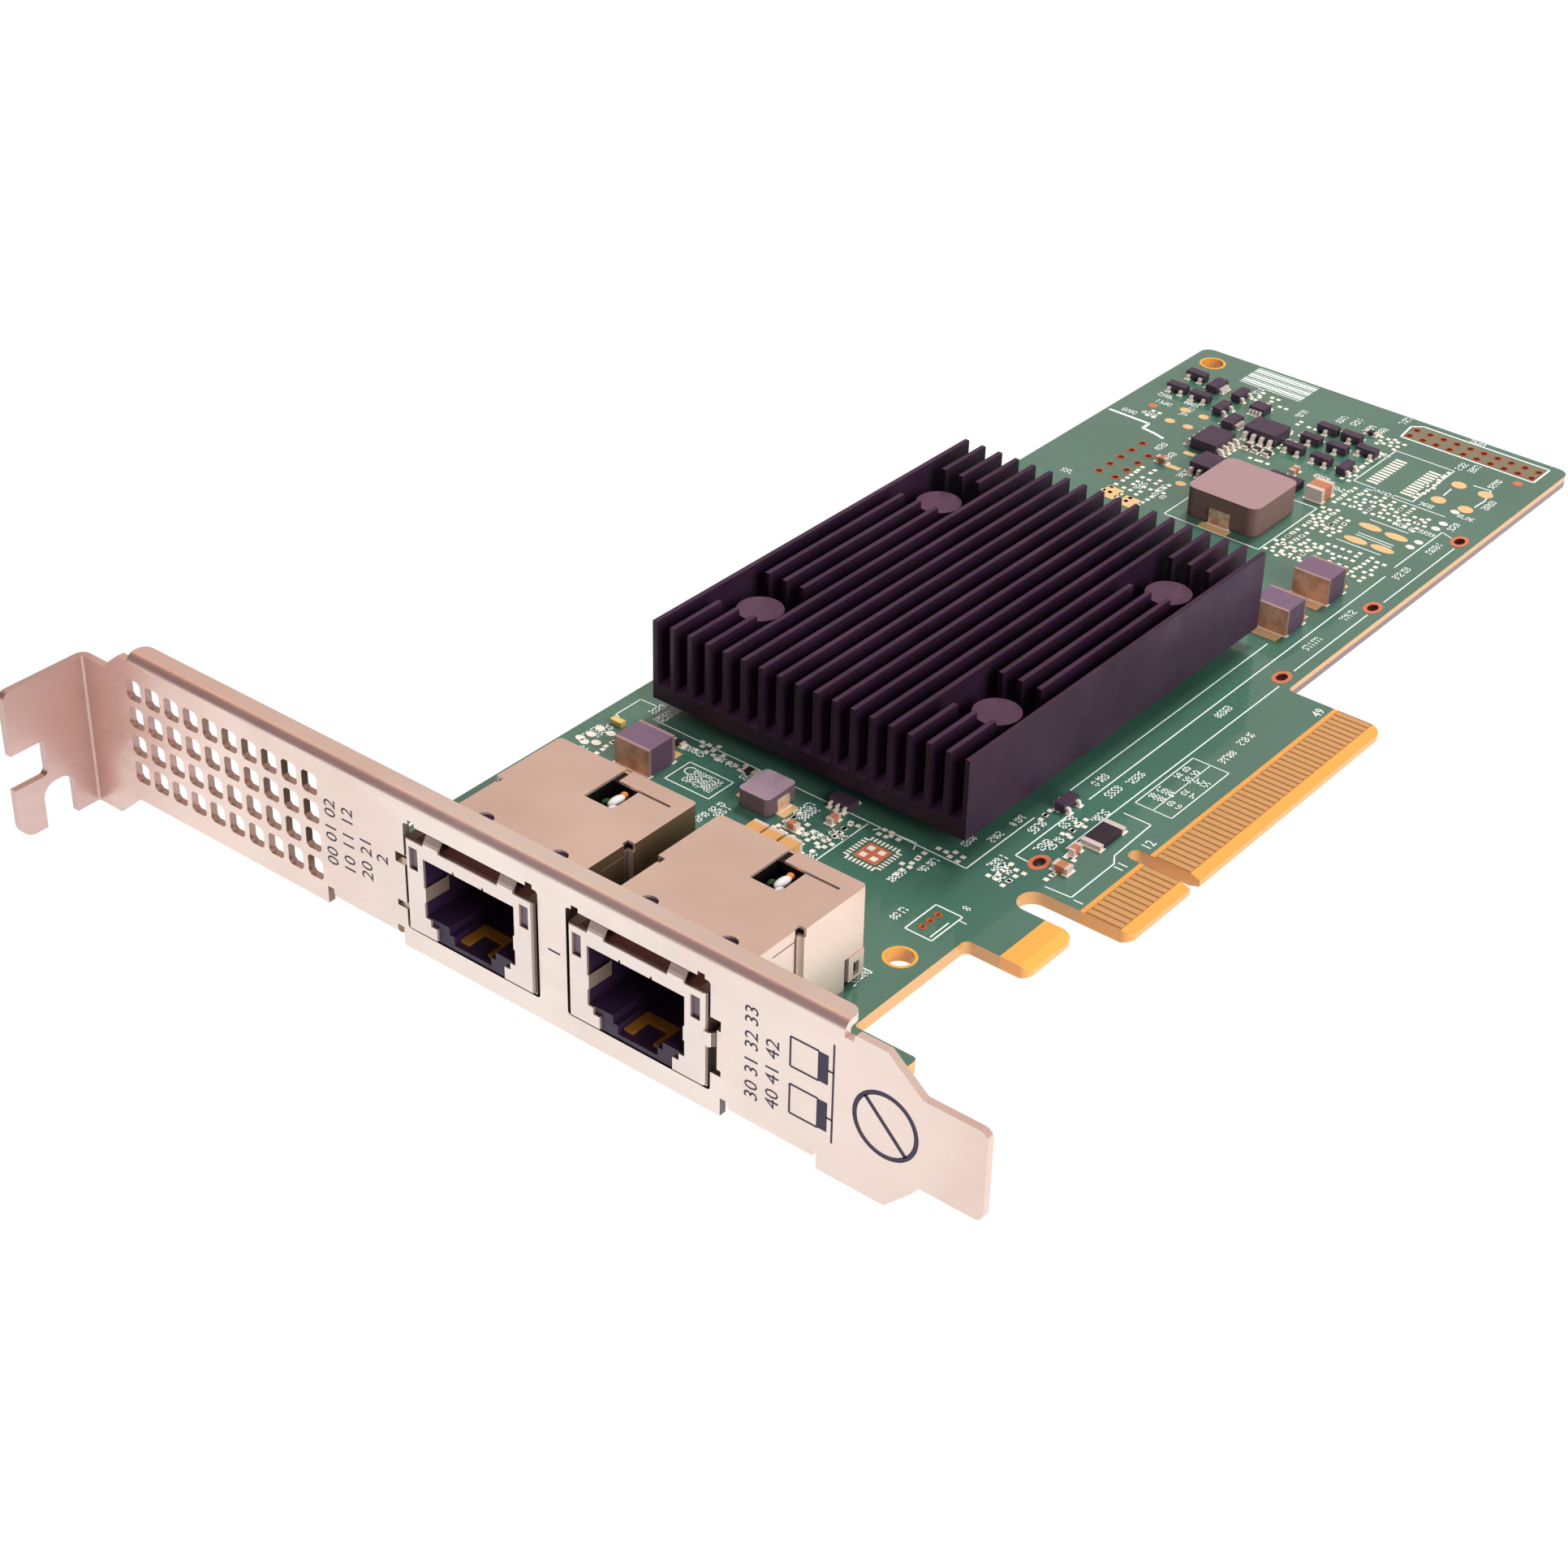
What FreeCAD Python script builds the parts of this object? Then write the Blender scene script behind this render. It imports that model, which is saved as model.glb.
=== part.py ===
import FreeCAD, Part
import math
import os

os.makedirs("parts", exist_ok=True)

V = FreeCAD.Vector
HEAD_SIDES = 24
HOLE_SIDES = 16
SHANK_SIDES = 8

# Network interface card. Millimetres.
# Origin: middle of the key notch in the edge connector, at the tips of the contacts,
# on the component side. +X runs out of the edge connector, +Y along the card away
# from the bracket, +Z out of the component side.

# ---------------------------------------------------------------- plane of the bracket
SHEET = 0.86
BRACKET_OUT_Y = -58.01
BRACKET_IN_Y = BRACKET_OUT_Y + SHEET

# ---------------------------------------------------------------- board
BOARD_THICK = 1.57
BOARD_LONG = 167.00
BOARD_GAP = 0.65
BOARD_NEAR_Y = BRACKET_IN_Y + BOARD_GAP
BOARD_FAR_Y = BOARD_NEAR_Y + BOARD_LONG
BOARD_TOP_EDGE_X = -68.90
BOARD_EDGE_X = -12.50
BOARD_CORNER_R = 1.5

TONGUE_NEAR_Y = -12.15
TONGUE_FAR_Y = 39.15
TONGUE_CORNER_R = 1.2
TONGUE_BEVEL_DEEP = 1.2
TONGUE_BEVEL_HIGH = 0.40
KEY_WIDE = 1.90
KEY_DEEP = 8.25
FOOT_SLOT_NEAR_Y = -15.80
FOOT_SLOT_DEEP_X = -12.57
FOOT_SLOT_R = 1.75
FOOT_NEAR_Y = -23.75
FOOT_TIP_X = -4.50
FOOT_CORNER_R = 1.0
RECESS_X = -12.30
RECESS_NEAR_Y = -42.06
STRIP_X = -4.57

MOUNT_HOLE_R = 1.50
MOUNT_HOLES = [(-15.60, -30.40), (-65.50, 106.70)]

SLOT_WIDE = 1.20
SLOT_LONG = 1.90
SLOT_CORNER_CUT = 0.40
SLOT_X = -14.45
SLOT_YS = [-7.80, 41.10, 62.20, 84.00]

HEADER_HOLE_R = 0.30
HEADER_PITCH = 1.27
HEADER_X = -17.10
HEADER_MID_Y = -23.55
HEADER_COUNT = 3

# ---------------------------------------------------------------- edge contacts
CONTACT_PITCH = 1.00
CONTACT_WIDE = 0.70
CONTACT_TIP_X = -1.30
CONTACT_ROOT_X = -5.60
CONTACT_THICK = 0.05
CONTACTS_NEAR = 11
CONTACTS_FAR = 38
CONTACT_KEY_GAP = 1.50

# ---------------------------------------------------------------- bracket
BRACKET_LONG = 120.02
BRACKET_TIP_X = 14.62
BRACKET_LOW_Z = -2.94
FLANGE_TOP_Z = 15.47
FLANGE_DEEP = 2.71
FLANGE_BACK_Y = BRACKET_OUT_Y + FLANGE_DEEP
FLANGE_LEFT_X = -97.20
FLANGE_RIGHT_X = -1.40
FLANGE_BEND_R = 1.20
FLANGE_CORNER_R = 1.20
SHOULDER_TOP_Z = 14.72
SHOULDER_START_X = -98.60
SHOULDER_SLOPE_X = -100.20
SHOULDER_SLOPE_Z = 13.36
RELIEF_DEEP = 0.80
RELIEF_WIDE = 1.10
RELIEF_CORNER_R = 0.3
SHOULDER_END_X = 3.40
SHOULDER_CORNER_R = 0.5
LOW_EDGE_START_X = -97.60
LOW_EDGE_END_X = 3.70
TONGUE_SHOULDER_X = 7.50
TONGUE_FLARE_X = 6.70
TONGUE_FLARE_Z = 0.10
TIP_LOW_Z = 1.18
TIP_HIGH_Z = 11.37
TIP_CORNER_R = 1.0

NECK_LOW_Z = -6.04
NECK_HIGH_Z = 12.38
NECK_X = -101.00
NECK_FLARE_X = -100.90
TAB_FACE_X = BRACKET_TIP_X - BRACKET_LONG
TAB_REACH = 10.57
TAB_OUT_Y = BRACKET_OUT_Y - TAB_REACH
TAB_BEND_R = 0.30
TAB_CORNER_R = 1.0
LOBE_CORNER_R = 2.0
SCREW_SLOT_WIDE = 4.40
SCREW_SLOT_MID_Z = 2.50
SCREW_SLOT_DEEP = 4.38
SCREW_SLOT_END_Y = TAB_OUT_Y + SCREW_SLOT_DEEP
SCREW_SLOT_R = 0.7
RELIEF_CUT_IN = 3.48
RELIEF_CUT_LONG = 4.10
RELIEF_CUT_LEFT_Y = TAB_OUT_Y + RELIEF_CUT_IN
RELIEF_CUT_RIGHT_Y = RELIEF_CUT_LEFT_Y + RELIEF_CUT_LONG
RELIEF_CUT_TOP_Z = -0.80
RELIEF_CUT_R = 1.7

VENT_COLUMNS = 10
VENT_ROWS = 4
VENT_FIRST_X = -96.55
VENT_TOP_ROW_Z = 11.22
VENT_PITCH_X = 2.945
VENT_PITCH_Z = 3.48
VENT_WIDE = 2.20
VENT_TALL = 2.55
VENT_CORNER_CUT = 0.35

BOARD_TAB_SPANS = [(-67.50, -58.30), (-14.90, -5.10)]
BOARD_TAB_LONG = 9.00
BOARD_TAB_BEND_R = 0.44
BOARD_TAB_RELIEF = 0.90
BOARD_TAB_RELIEF_Z = -0.80
BOARD_TAB_CORNER_R = 1.5

# ---------------------------------------------------------------- bracket screws
SCREW_R = 1.50
SCREW_HOLE_SLACK = 0.15
SCREW_HEAD_R = 2.80
SCREW_HEAD_TALL = 1.70
SCREW_HEAD_BEVEL = 0.50
SCREW_BACK = 5.30
SCREW_TAIL = 0.90
SCREW_RECESS_R = 1.10
SCREW_RECESS_WIDE = 0.55
SCREW_RECESS_DEEP = 0.90

# ---------------------------------------------------------------- sockets
PORT_1_X = -25.90
PORT_PITCH = 21.70
PORT_XS = {1: PORT_1_X, 2: PORT_1_X - PORT_PITCH}
PORT_PROUD = 0.47
PORT_NECK_LONG = 13.68
PORT_LONG = 23.43
PORT_FACE_Y = BRACKET_OUT_Y - PORT_PROUD
PORT_STEP_Y = PORT_FACE_Y + PORT_NECK_LONG
PORT_REAR_Y = PORT_FACE_Y + PORT_LONG
PORT_TOP_Z = 11.00
PORT_HALF = 8.70
PORT_REAR_HALF = 9.35
SHELL_THICK = 0.30
SHELL_BEND = 0.35
SHELL_BACK_Y = PORT_FACE_Y + SHELL_THICK
WINDOW_SLACK = 0.33
WINDOW_SHIFT = -0.15
WINDOW_LOW_Z = -0.50
WINDOW_HIGH_Z = 12.35
WINDOW_CORNER_R = 0.4
WINDOW_NOTCH_Z = 12.85
WINDOW_NOTCH_WIDE = 0.90
WINDOW_NOTCH_IN = 0.70
RECESS_LOW_Z = 1.75
RECESS_HIGH_Z = 8.30
RECESS_WIDE = 0.80
RECESS_EAR_LOW = 0.70
RECESS_EAR_HIGH = 1.20
RECESS_EAR_WIDE = 1.28

LIGHT_WALL = 0.65
LIGHT_WIDE = 1.15
LIGHT_MARGIN = 0.70
LIGHT_OUT = PORT_HALF - LIGHT_MARGIN
LIGHT_IN = LIGHT_OUT - LIGHT_WIDE
LIGHT_LOW_Z = 7.60
LIGHT_HIGH_Z = 10.25
LIGHT_LONG = 11.00

CAVITY_HALF = LIGHT_IN - LIGHT_WALL
CAVITY_TOP_Z = 9.40
LEDGE_Z = 2.40
KEYWAY_HALF = 3.15
KEYWAY_LOW_Z = 1.50
LATCH_HALF = 2.50
LATCH_LOW_Z = 0.50
CAVITY_DEEP = 12.88
CAVITY_WALL = 0.50
CAVITY_BACK_Y = PORT_FACE_Y + CAVITY_DEEP
MODULE_FRONT_Y = CAVITY_BACK_Y + CAVITY_WALL

FRAME_LIP = 0.10
FRAME_LOW_Z = 0.15
FRAME_KEYWAY_HALF = 5.40
FRAME_KEYWAY_Z = 1.60
FRAME_LATCH_HALF = 4.60
FRAME_NOTCH_X = 1.85
FRAME_NOTCH_WIDE = 0.25
FRAME_NOTCH_DEEP = 0.30
PLUG_SPRING_LOW_Z = 4.30
PLUG_SPRING_HIGH_Z = 6.00
PLUG_SPRING_LONG = 3.20
PLUG_SPRING_LEAN = 0.25
PLUG_SPRING_THICK = 0.18

MOON_X = 5.00
MOON_Y = PORT_FACE_Y + 7.78
MOON_LONG = 2.00
MOON_DEEP = 0.80
MOON_STEPS = 6
TOP_CUT_X = (-0.20, 3.60)
TOP_CUT_Y = (PORT_REAR_Y - 6.45, PORT_REAR_Y - 2.15)
TOP_STRIP_X = (-0.20, 0.70)
TOP_SLIT_X = (3.60, 7.70)
SLIT_WIDE = 0.35
STEP_NOTCH_LONG = 0.60
STEP_NOTCH_DEEP = 0.90
STEP_SLIT_LOW_Z = 0.80
SIDE_SLIT_Z = 9.60
SIDE_SLIT_LONG = 3.60
SIDE_SLIT_HIGH = 0.15
TAB_LONG = 2.75
TAB_LOW_Z = 0.70
TAB_HIGH_Z = 3.65
TAB_PROUD = 0.15
TAB_GAP = 0.50
TAB_HOLE_BACK = 1.10
TAB_HOLE_LONG = 0.90
TAB_HOLE_LOW_Z = 1.10
TAB_HOLE_HIGH_Z = 2.70

LEAF_RISE = 1.20
LEAF_LONG = 4.60
LEAF_LIP = 0.35
LEAF_CREST_START = 0.55
LEAF_CREST_END = 1.35
LEAF_ROOT_LONG = 0.90
LEAF_INNER = 0.12
TOP_LEAF_WIDE = 2.00
LEAF_PORT = 1
SIDE_LEAF_RISE = 0.85
SIDE_LEAF_LOW_Z = 5.05
SIDE_LEAF_HIGH_Z = 6.70

WIRE_COUNT = 8
WIRE_PITCH = 1.016
WIRE_WIDE = 0.46
WIRE_THICK = 0.25
WIRE_SLOT_LONG = 2.40
WIRE_FRONT_Y = PORT_FACE_Y + 3.78
WIRE_TIP_Y = CAVITY_BACK_Y - 3.60
WIRE_TIP_Z = 6.65

INSERT_OUT_HALF = 2.40
INSERT_IN_HALF = 1.30
INSERT_LONG = 3.40
INSERT_NEAR_Y = PORT_FACE_Y + 1.08
INSERT_BACK_Y = INSERT_NEAR_Y + INSERT_LONG
INSERT_BAR_LONG = 1.15
INSERT_THICK = 0.35

WELL_DEEP = 2.20

# ---------------------------------------------------------------- heatsink
SINK_X = (-64.25, -20.95)
SINK_Y = (-12.30, 45.80)
SINK_LOW_Z = 2.10
SINK_BASE_Z = 4.05
SINK_TOP_Z = 12.08
FIN_COUNT = 18
FIN_THICK = 0.60
PIN_XS = (-59.00, -26.20)
PIN_YS = (-0.05, 33.45)
PIN_POCKET_HALF_Y = 4.10
PIN_POCKET_HALF_X = 3.75
PIN_HEAD_R = 2.75
PIN_HEAD_TALL = 1.00
PIN_TOP_Z = 10.15
PIN_SHANK_R = 1.10
PIN_SLACK = 0.15
PIN_BARB_R = 1.70
PIN_TIP_R = 0.70
PIN_TAIL = 2.40
PIN_SPLIT_WIDE = 0.50
PIN_SPLIT_STOP = 0.60
SPRING_R = 1.75
SPRING_WIRE_R = 0.25
SPRING_TURN_COUNT = 3

CHIP_HALF = 12.5
CHIP_MID = (-42.60, 16.70)
CHIP_TOP_Z = 1.90

# ---------------------------------------------------------------- wound parts
POWER_INDUCTOR_X = (-44.90, -34.40)
POWER_INDUCTOR_Y = (67.20, 77.60)
POWER_INDUCTOR_TALL = 4.00
POWER_INDUCTOR_CORNER_R = 1.30
POWER_TERMINAL_WIDE = 2.90
POWER_TERMINAL_TALL = 2.10
FILTER_INDUCTOR_X = (-45.40, -41.20)
FILTER_INDUCTOR_Y = (-20.15, -15.15)
FILTER_INDUCTOR_TALL = 2.20
FILTER_INDUCTOR_CORNER_R = 0.60
FILTER_TERMINAL_WIDE = 2.00
FILTER_TERMINAL_TALL = 1.60
INDUCTOR_STAND_OFF = 0.10
TERMINAL_THICK = 0.20
TERMINAL_FOOT = 0.80

FERRITE_WIDE = 4.95
FERRITE_LONG = 4.30
FERRITE_TALL = 3.45
FERRITE_END_THICK = 0.40
FERRITE_SPOTS = [(-21.40, 51.40), (-21.45, 61.00), (-58.35, -20.40)]

# ---------------------------------------------------------------- small parts
BIG_CAP_XS = [-39.80, -37.60, -35.30]
BIG_CAP_Y = -24.10
BIG_CAP_WIDE = 1.90
BIG_CAP_LONG = 2.80
BIG_CAP_TALL = 1.60
BIG_CAP_END = 0.45

SENSE_MID = (-11.90, 0.40)
SENSE_LONG = 5.00
SENSE_WIDE = 2.50
SENSE_TALL = 0.60
SENSE_END = 0.70

SO8_LONG = 4.90
SO8_WIDE = 3.90
SO8_LOW_Z = 0.15
SO8_TALL = 1.50
SO8_REACH = 1.05
SO8_LEAD_PITCH = 1.27
SO8_LEAD_WIDE = 0.42
SO8_LEAD_THICK = 0.22

SMALL_LOW_Z = 0.10
LOGIC_TALL = 1.00
LOGIC_REACH = 0.65
LOGIC_LEAD_PITCH = 0.50
LOGIC_LEAD_WIDE = 0.25
LOGIC_LEAD_THICK = 0.15

SOT_LONG = 2.90
SOT_WIDE = 1.30
SOT_TALL = 1.05
SOT_REACH = 0.60
SOT_LEAD_WIDE = 0.42
SOT_LEAD_THICK = 0.14
SOT_PAIR_PITCH = 1.90

# centre x, centre y, turn in degrees (leads of the long side leave towards -Y at 0)
SO8_SPOTS = [(-52.10, 85.50, 90), (-48.10, 92.60, 0), (-48.05, 79.20, 0)]
# centre x, centre y, length, width, turn in degrees
LOGIC_SPOTS = [
    (-52.60, 98.25, 2.30, 2.00, 0),
    (-60.75, 100.30, 3.00, 1.70, 90),
    (-53.35, 92.40, 3.00, 1.70, 90),
    (-36.65, -12.80, 2.90, 1.60, 0),
]
LOGIC_LEAD_COUNTS = [4, 4, 4, 3]
SOT_SPOTS = [
    (-64.50, 101.20, 0), (-64.45, 96.20, 0), (-60.65, 96.00, 0),
    (-56.80, 99.95, 90), (-56.60, 94.90, 90),
    (-43.05, 91.30, 0), (-42.65, 95.10, 180), (-42.45, 99.20, 180),
    (-38.85, 99.20, 180), (-38.70, 95.20, 180), (-35.30, 97.00, 0),
    (-38.70, 91.00, 0), (-35.10, 91.00, 90), (-18.30, 2.75, 90),
]

SWITCH_X = (-41.60, -36.90)
SWITCH_Y = (78.60, 83.50)
SWITCH_TALL = 1.00

CHIP_END_SHARE = 0.22
# centre x, centre y, length, width, height, axis its ends face along
CHIP_CAP_SPOTS = [
    (-34.10, 82.60, 3.20, 2.50, 1.80, "y"), (-39.85, 86.00, 1.60, 0.85, 0.80, "y"),
    (-35.55, -16.00, 1.60, 0.80, 0.80, "y"), (-11.80, -7.40, 2.00, 1.25, 0.80, "x"),
    (-38.10, -19.80, 1.60, 0.80, 0.80, "x"), (-12.60, -3.90, 1.60, 0.80, 0.80, "y"),
    (-54.50, 77.00, 1.60, 0.80, 0.80, "x"),
]
CHIP_RESISTOR_SPOTS = [
    (-48.30, -14.60, 1.60, 0.80, 0.45, "x"), (-57.90, -15.30, 1.60, 0.80, 0.45, "x"),
    (-48.40, 88.10, 1.60, 0.80, 0.45, "y"), (-46.80, 88.10, 1.60, 0.80, 0.45, "y"),
    (-45.20, 88.10, 1.60, 0.80, 0.45, "y"), (-37.80, 102.60, 1.60, 0.80, 0.45, "x"),
]

STATUS_LIGHT = (-65.70, -16.60)
STATUS_LIGHT_SIZE = (1.60, 0.80, 0.60)


# ================================================================ helpers
def save(shape, node):
    shape.exportStep("parts/" + node + ".step")


def outline(points, plane):
    """Closed wire through points (a, b) or (a, b, corner radius) in plane xy, xz or yz."""
    corners = []
    count = len(points)
    for index, point in enumerate(points):
        here = V(point[0], point[1], 0)
        radius = point[2] if len(point) > 2 else 0
        if not radius:
            corners.append((here, None, here))
            continue
        before = V(points[index - 1][0], points[index - 1][1], 0)
        after = V(points[(index + 1) % count][0], points[(index + 1) % count][1], 0)
        back = (before - here).normalize()
        ahead = (after - here).normalize()
        half = back.getAngle(ahead) / 2
        run = radius / math.tan(half)
        bisector = (back + ahead).normalize()
        middle = here + bisector * (radius / math.sin(half) - radius)
        corners.append((here + back * run, middle, here + ahead * run))
    edges = []
    for index in range(count):
        start, middle, end = corners[index]
        following = corners[(index + 1) % count][0]
        if middle is not None:
            edges.append(Part.Arc(start, middle, end).toShape())
        if end.distanceToPoint(following) > 1e-5:
            edges.append(Part.makeLine(end, following))
    wire = Part.Wire(edges)
    if plane == "xz":
        wire.rotate(V(0, 0, 0), V(1, 0, 0), 90)
    if plane == "yz":
        wire.rotate(V(0, 0, 0), V(1, 1, 1), 120)
    return wire


def prism(points, plane, low, high):
    """Straight solid on an outline, between two heights along the third axis."""
    along = {"xy": V(0, 0, 1), "xz": V(0, 1, 0), "yz": V(1, 0, 0)}[plane]
    solid = Part.Face(outline(points, plane)).extrude(along * (high - low))
    solid.translate(along * low)
    return solid


def box(x_span, y_span, z_span):
    corner = V(x_span[0], y_span[0], z_span[0])
    return Part.makeBox(x_span[1] - x_span[0], y_span[1] - y_span[0], z_span[1] - z_span[0], corner)


def block(x, y, size_x, size_y, low, high):
    """Box given by its middle in plan."""
    return box((x - size_x / 2, x + size_x / 2), (y - size_y / 2, y + size_y / 2), (low, high))


def bore(x, y, radius, low, high):
    return Part.makeCylinder(radius, high - low, V(x, y, low))


def facet(corners):
    return Part.Face(Part.makePolygon(corners + corners[:1]))


def tapered_rod(x, y, low_radius, high_radius, low, high, sides):
    """Upright rod of flat faces, to keep round things light; its corners lie at the radii."""
    rings = []
    for radius, z in ((low_radius, low), (high_radius, high)):
        angles = [2 * math.pi * (index + 0.5) / sides for index in range(sides)]
        rings.append([V(x + radius * math.cos(a), y + radius * math.sin(a), z) for a in angles])
    below, above = rings
    faces = [facet(below[::-1]), facet(above)]
    for index in range(sides):
        beside = (index + 1) % sides
        faces.append(facet([below[index], below[beside], above[beside], above[index]]))
    return Part.Solid(Part.Shell(faces))


def rod(x, y, radius, low, high, sides):
    return tapered_rod(x, y, radius, radius, low, high, sides)


def rounded_rectangle(a_low, a_high, b_low, b_high, radius):
    return [(a_low, b_low, radius), (a_high, b_low, radius),
            (a_high, b_high, radius), (a_low, b_high, radius)]


def cut_rectangle(a, b, half_a, half_b, cut):
    """Rectangle round a middle point with its corners cut at 45 degrees."""
    quarter = [(half_a, half_b - cut), (half_a - cut, half_b)]
    points = []
    for sign_a, sign_b, order in ((1, 1, 1), (-1, 1, -1), (-1, -1, 1), (1, -1, -1)):
        points += [(a + sign_a * u, b + sign_b * v) for u, v in quarter[::order]]
    return points


def united(shapes):
    whole = shapes[0]
    if len(shapes) > 1:
        whole = whole.fuse(shapes[1:])
    return whole.removeSplitter()


def group(shapes):
    """Separate solids kept together as one named piece or set of pieces."""
    return Part.makeCompound(shapes)


def turned(shape, x, y, degrees):
    """Shape modelled round the origin, turned about Z and set down at x, y."""
    shape.rotate(V(0, 0, 0), V(0, 0, 1), degrees)
    shape.translate(V(x, y, 0))
    return shape


# ================================================================ board
def screw_spots():
    y = BRACKET_IN_Y + SCREW_BACK
    return [((left + right) / 2, y) for left, right in BOARD_TAB_SPANS]


def header_hole_spots():
    first = HEADER_MID_Y - HEADER_PITCH * (HEADER_COUNT - 1) / 2
    return [(HEADER_X, first + HEADER_PITCH * index) for index in range(HEADER_COUNT)]


def key_notch():
    half = KEY_WIDE / 2
    return [(1, -half), (-KEY_DEEP, -half, half * 0.98), (-KEY_DEEP, half, half * 0.98), (1, half)]


def circuit_board():
    edge = [
        (BOARD_TOP_EDGE_X, BOARD_NEAR_Y),
        (STRIP_X, BOARD_NEAR_Y),
        (STRIP_X, RECESS_NEAR_Y, 0.5),
        (RECESS_X, RECESS_NEAR_Y, 0.5),
        (RECESS_X, FOOT_NEAR_Y, 0.8),
        (FOOT_TIP_X, FOOT_NEAR_Y, FOOT_CORNER_R),
        (FOOT_TIP_X, FOOT_SLOT_NEAR_Y, FOOT_CORNER_R),
        (FOOT_SLOT_DEEP_X, FOOT_SLOT_NEAR_Y, FOOT_SLOT_R),
        (FOOT_SLOT_DEEP_X, TONGUE_NEAR_Y, FOOT_SLOT_R),
        (0, TONGUE_NEAR_Y, TONGUE_CORNER_R),
        (0, TONGUE_FAR_Y, TONGUE_CORNER_R),
        (BOARD_EDGE_X, TONGUE_FAR_Y, 0.8),
        (BOARD_EDGE_X, BOARD_FAR_Y, BOARD_CORNER_R),
        (BOARD_TOP_EDGE_X, BOARD_FAR_Y, BOARD_CORNER_R),
    ]
    board = prism(edge, "xy", -BOARD_THICK, 0)
    cuts = [prism(key_notch(), "xy", -BOARD_THICK - 1, 1)]
    for x, y in MOUNT_HOLES:
        cuts.append(bore(x, y, MOUNT_HOLE_R, -BOARD_THICK - 1, 1))
    for x, y in screw_spots():
        cuts.append(rod(x, y, SCREW_R + SCREW_HOLE_SLACK, -BOARD_THICK - 1, 1, HOLE_SIDES))
    for x, y in pin_spots():
        cuts.append(rod(x, y, PIN_SHANK_R + PIN_SLACK, -BOARD_THICK - 1, 1, SHANK_SIDES))
    for x, y in header_hole_spots():
        cuts.append(rod(x, y, HEADER_HOLE_R, -BOARD_THICK - 1, 1, SHANK_SIDES))
    for y in SLOT_YS:
        slot = cut_rectangle(SLOT_X, y, SLOT_WIDE / 2, SLOT_LONG / 2, SLOT_CORNER_CUT)
        cuts.append(prism(slot, "xy", -BOARD_THICK - 1, 1))
    for tip_x, near, far in ((0, TONGUE_NEAR_Y, TONGUE_FAR_Y),
                             (FOOT_TIP_X, FOOT_NEAR_Y, FOOT_SLOT_NEAR_Y)):
        for face, step in ((0, -1), (-BOARD_THICK, 1)):
            bevel = [(tip_x + 0.5, face - step), (tip_x - TONGUE_BEVEL_DEEP, face),
                     (tip_x, face + step * TONGUE_BEVEL_HIGH),
                     (tip_x + 0.5, face + step * TONGUE_BEVEL_HIGH)]
            cuts.append(prism(bevel, "xz", near - 1, far + 1))
    return board.cut(cuts).removeSplitter()


def contact_ys():
    first = -CONTACT_KEY_GAP - CONTACT_PITCH * (CONTACTS_NEAR - 1)
    near = [first + CONTACT_PITCH * index for index in range(CONTACTS_NEAR)]
    far = [CONTACT_KEY_GAP + CONTACT_PITCH * index for index in range(CONTACTS_FAR)]
    return near + far


def edge_contacts():
    pads = []
    middle = (CONTACT_TIP_X + CONTACT_ROOT_X) / 2
    long = CONTACT_TIP_X - CONTACT_ROOT_X
    for y in contact_ys():
        pads.append(block(middle, y, long, CONTACT_WIDE, 0, CONTACT_THICK))
        pads.append(block(middle, y, long, CONTACT_WIDE, -BOARD_THICK - CONTACT_THICK, -BOARD_THICK))
    return group(pads)


# ================================================================ bracket
def bracket_front():
    """Front plate seen from outside, without flange, screw tab and board tabs."""
    bend_top = FLANGE_TOP_Z - FLANGE_BEND_R
    floor = SHOULDER_TOP_Z - RELIEF_DEEP
    points = [
        (NECK_X, NECK_HIGH_Z),
        (SHOULDER_SLOPE_X, SHOULDER_SLOPE_Z),
        (SHOULDER_START_X, SHOULDER_TOP_Z),
        (FLANGE_LEFT_X, SHOULDER_TOP_Z),
        (FLANGE_LEFT_X, bend_top),
        (FLANGE_RIGHT_X, bend_top),
        (FLANGE_RIGHT_X, floor),
        (FLANGE_RIGHT_X + RELIEF_WIDE, floor),
        (FLANGE_RIGHT_X + RELIEF_WIDE, SHOULDER_TOP_Z, RELIEF_CORNER_R),
        (SHOULDER_END_X, SHOULDER_TOP_Z, SHOULDER_CORNER_R),
        (TONGUE_SHOULDER_X, TIP_HIGH_Z, SHOULDER_CORNER_R),
        (BRACKET_TIP_X, TIP_HIGH_Z, TIP_CORNER_R),
        (BRACKET_TIP_X, TIP_LOW_Z, TIP_CORNER_R),
        (TONGUE_SHOULDER_X, TIP_LOW_Z),
        (TONGUE_FLARE_X, TONGUE_FLARE_Z),
        (LOW_EDGE_END_X, BRACKET_LOW_Z),
    ]
    for left, right in reversed(BOARD_TAB_SPANS):
        points += [
            (right + BOARD_TAB_RELIEF, BRACKET_LOW_Z),
            (right + BOARD_TAB_RELIEF, BOARD_TAB_RELIEF_Z),
            (left - BOARD_TAB_RELIEF, BOARD_TAB_RELIEF_Z),
            (left - BOARD_TAB_RELIEF, BRACKET_LOW_Z),
        ]
    points += [
        (LOW_EDGE_START_X, BRACKET_LOW_Z),
        (NECK_FLARE_X, NECK_LOW_Z),
        (NECK_X, NECK_LOW_Z),
    ]
    return prism(points, "xz", BRACKET_OUT_Y, BRACKET_IN_Y)


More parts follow.
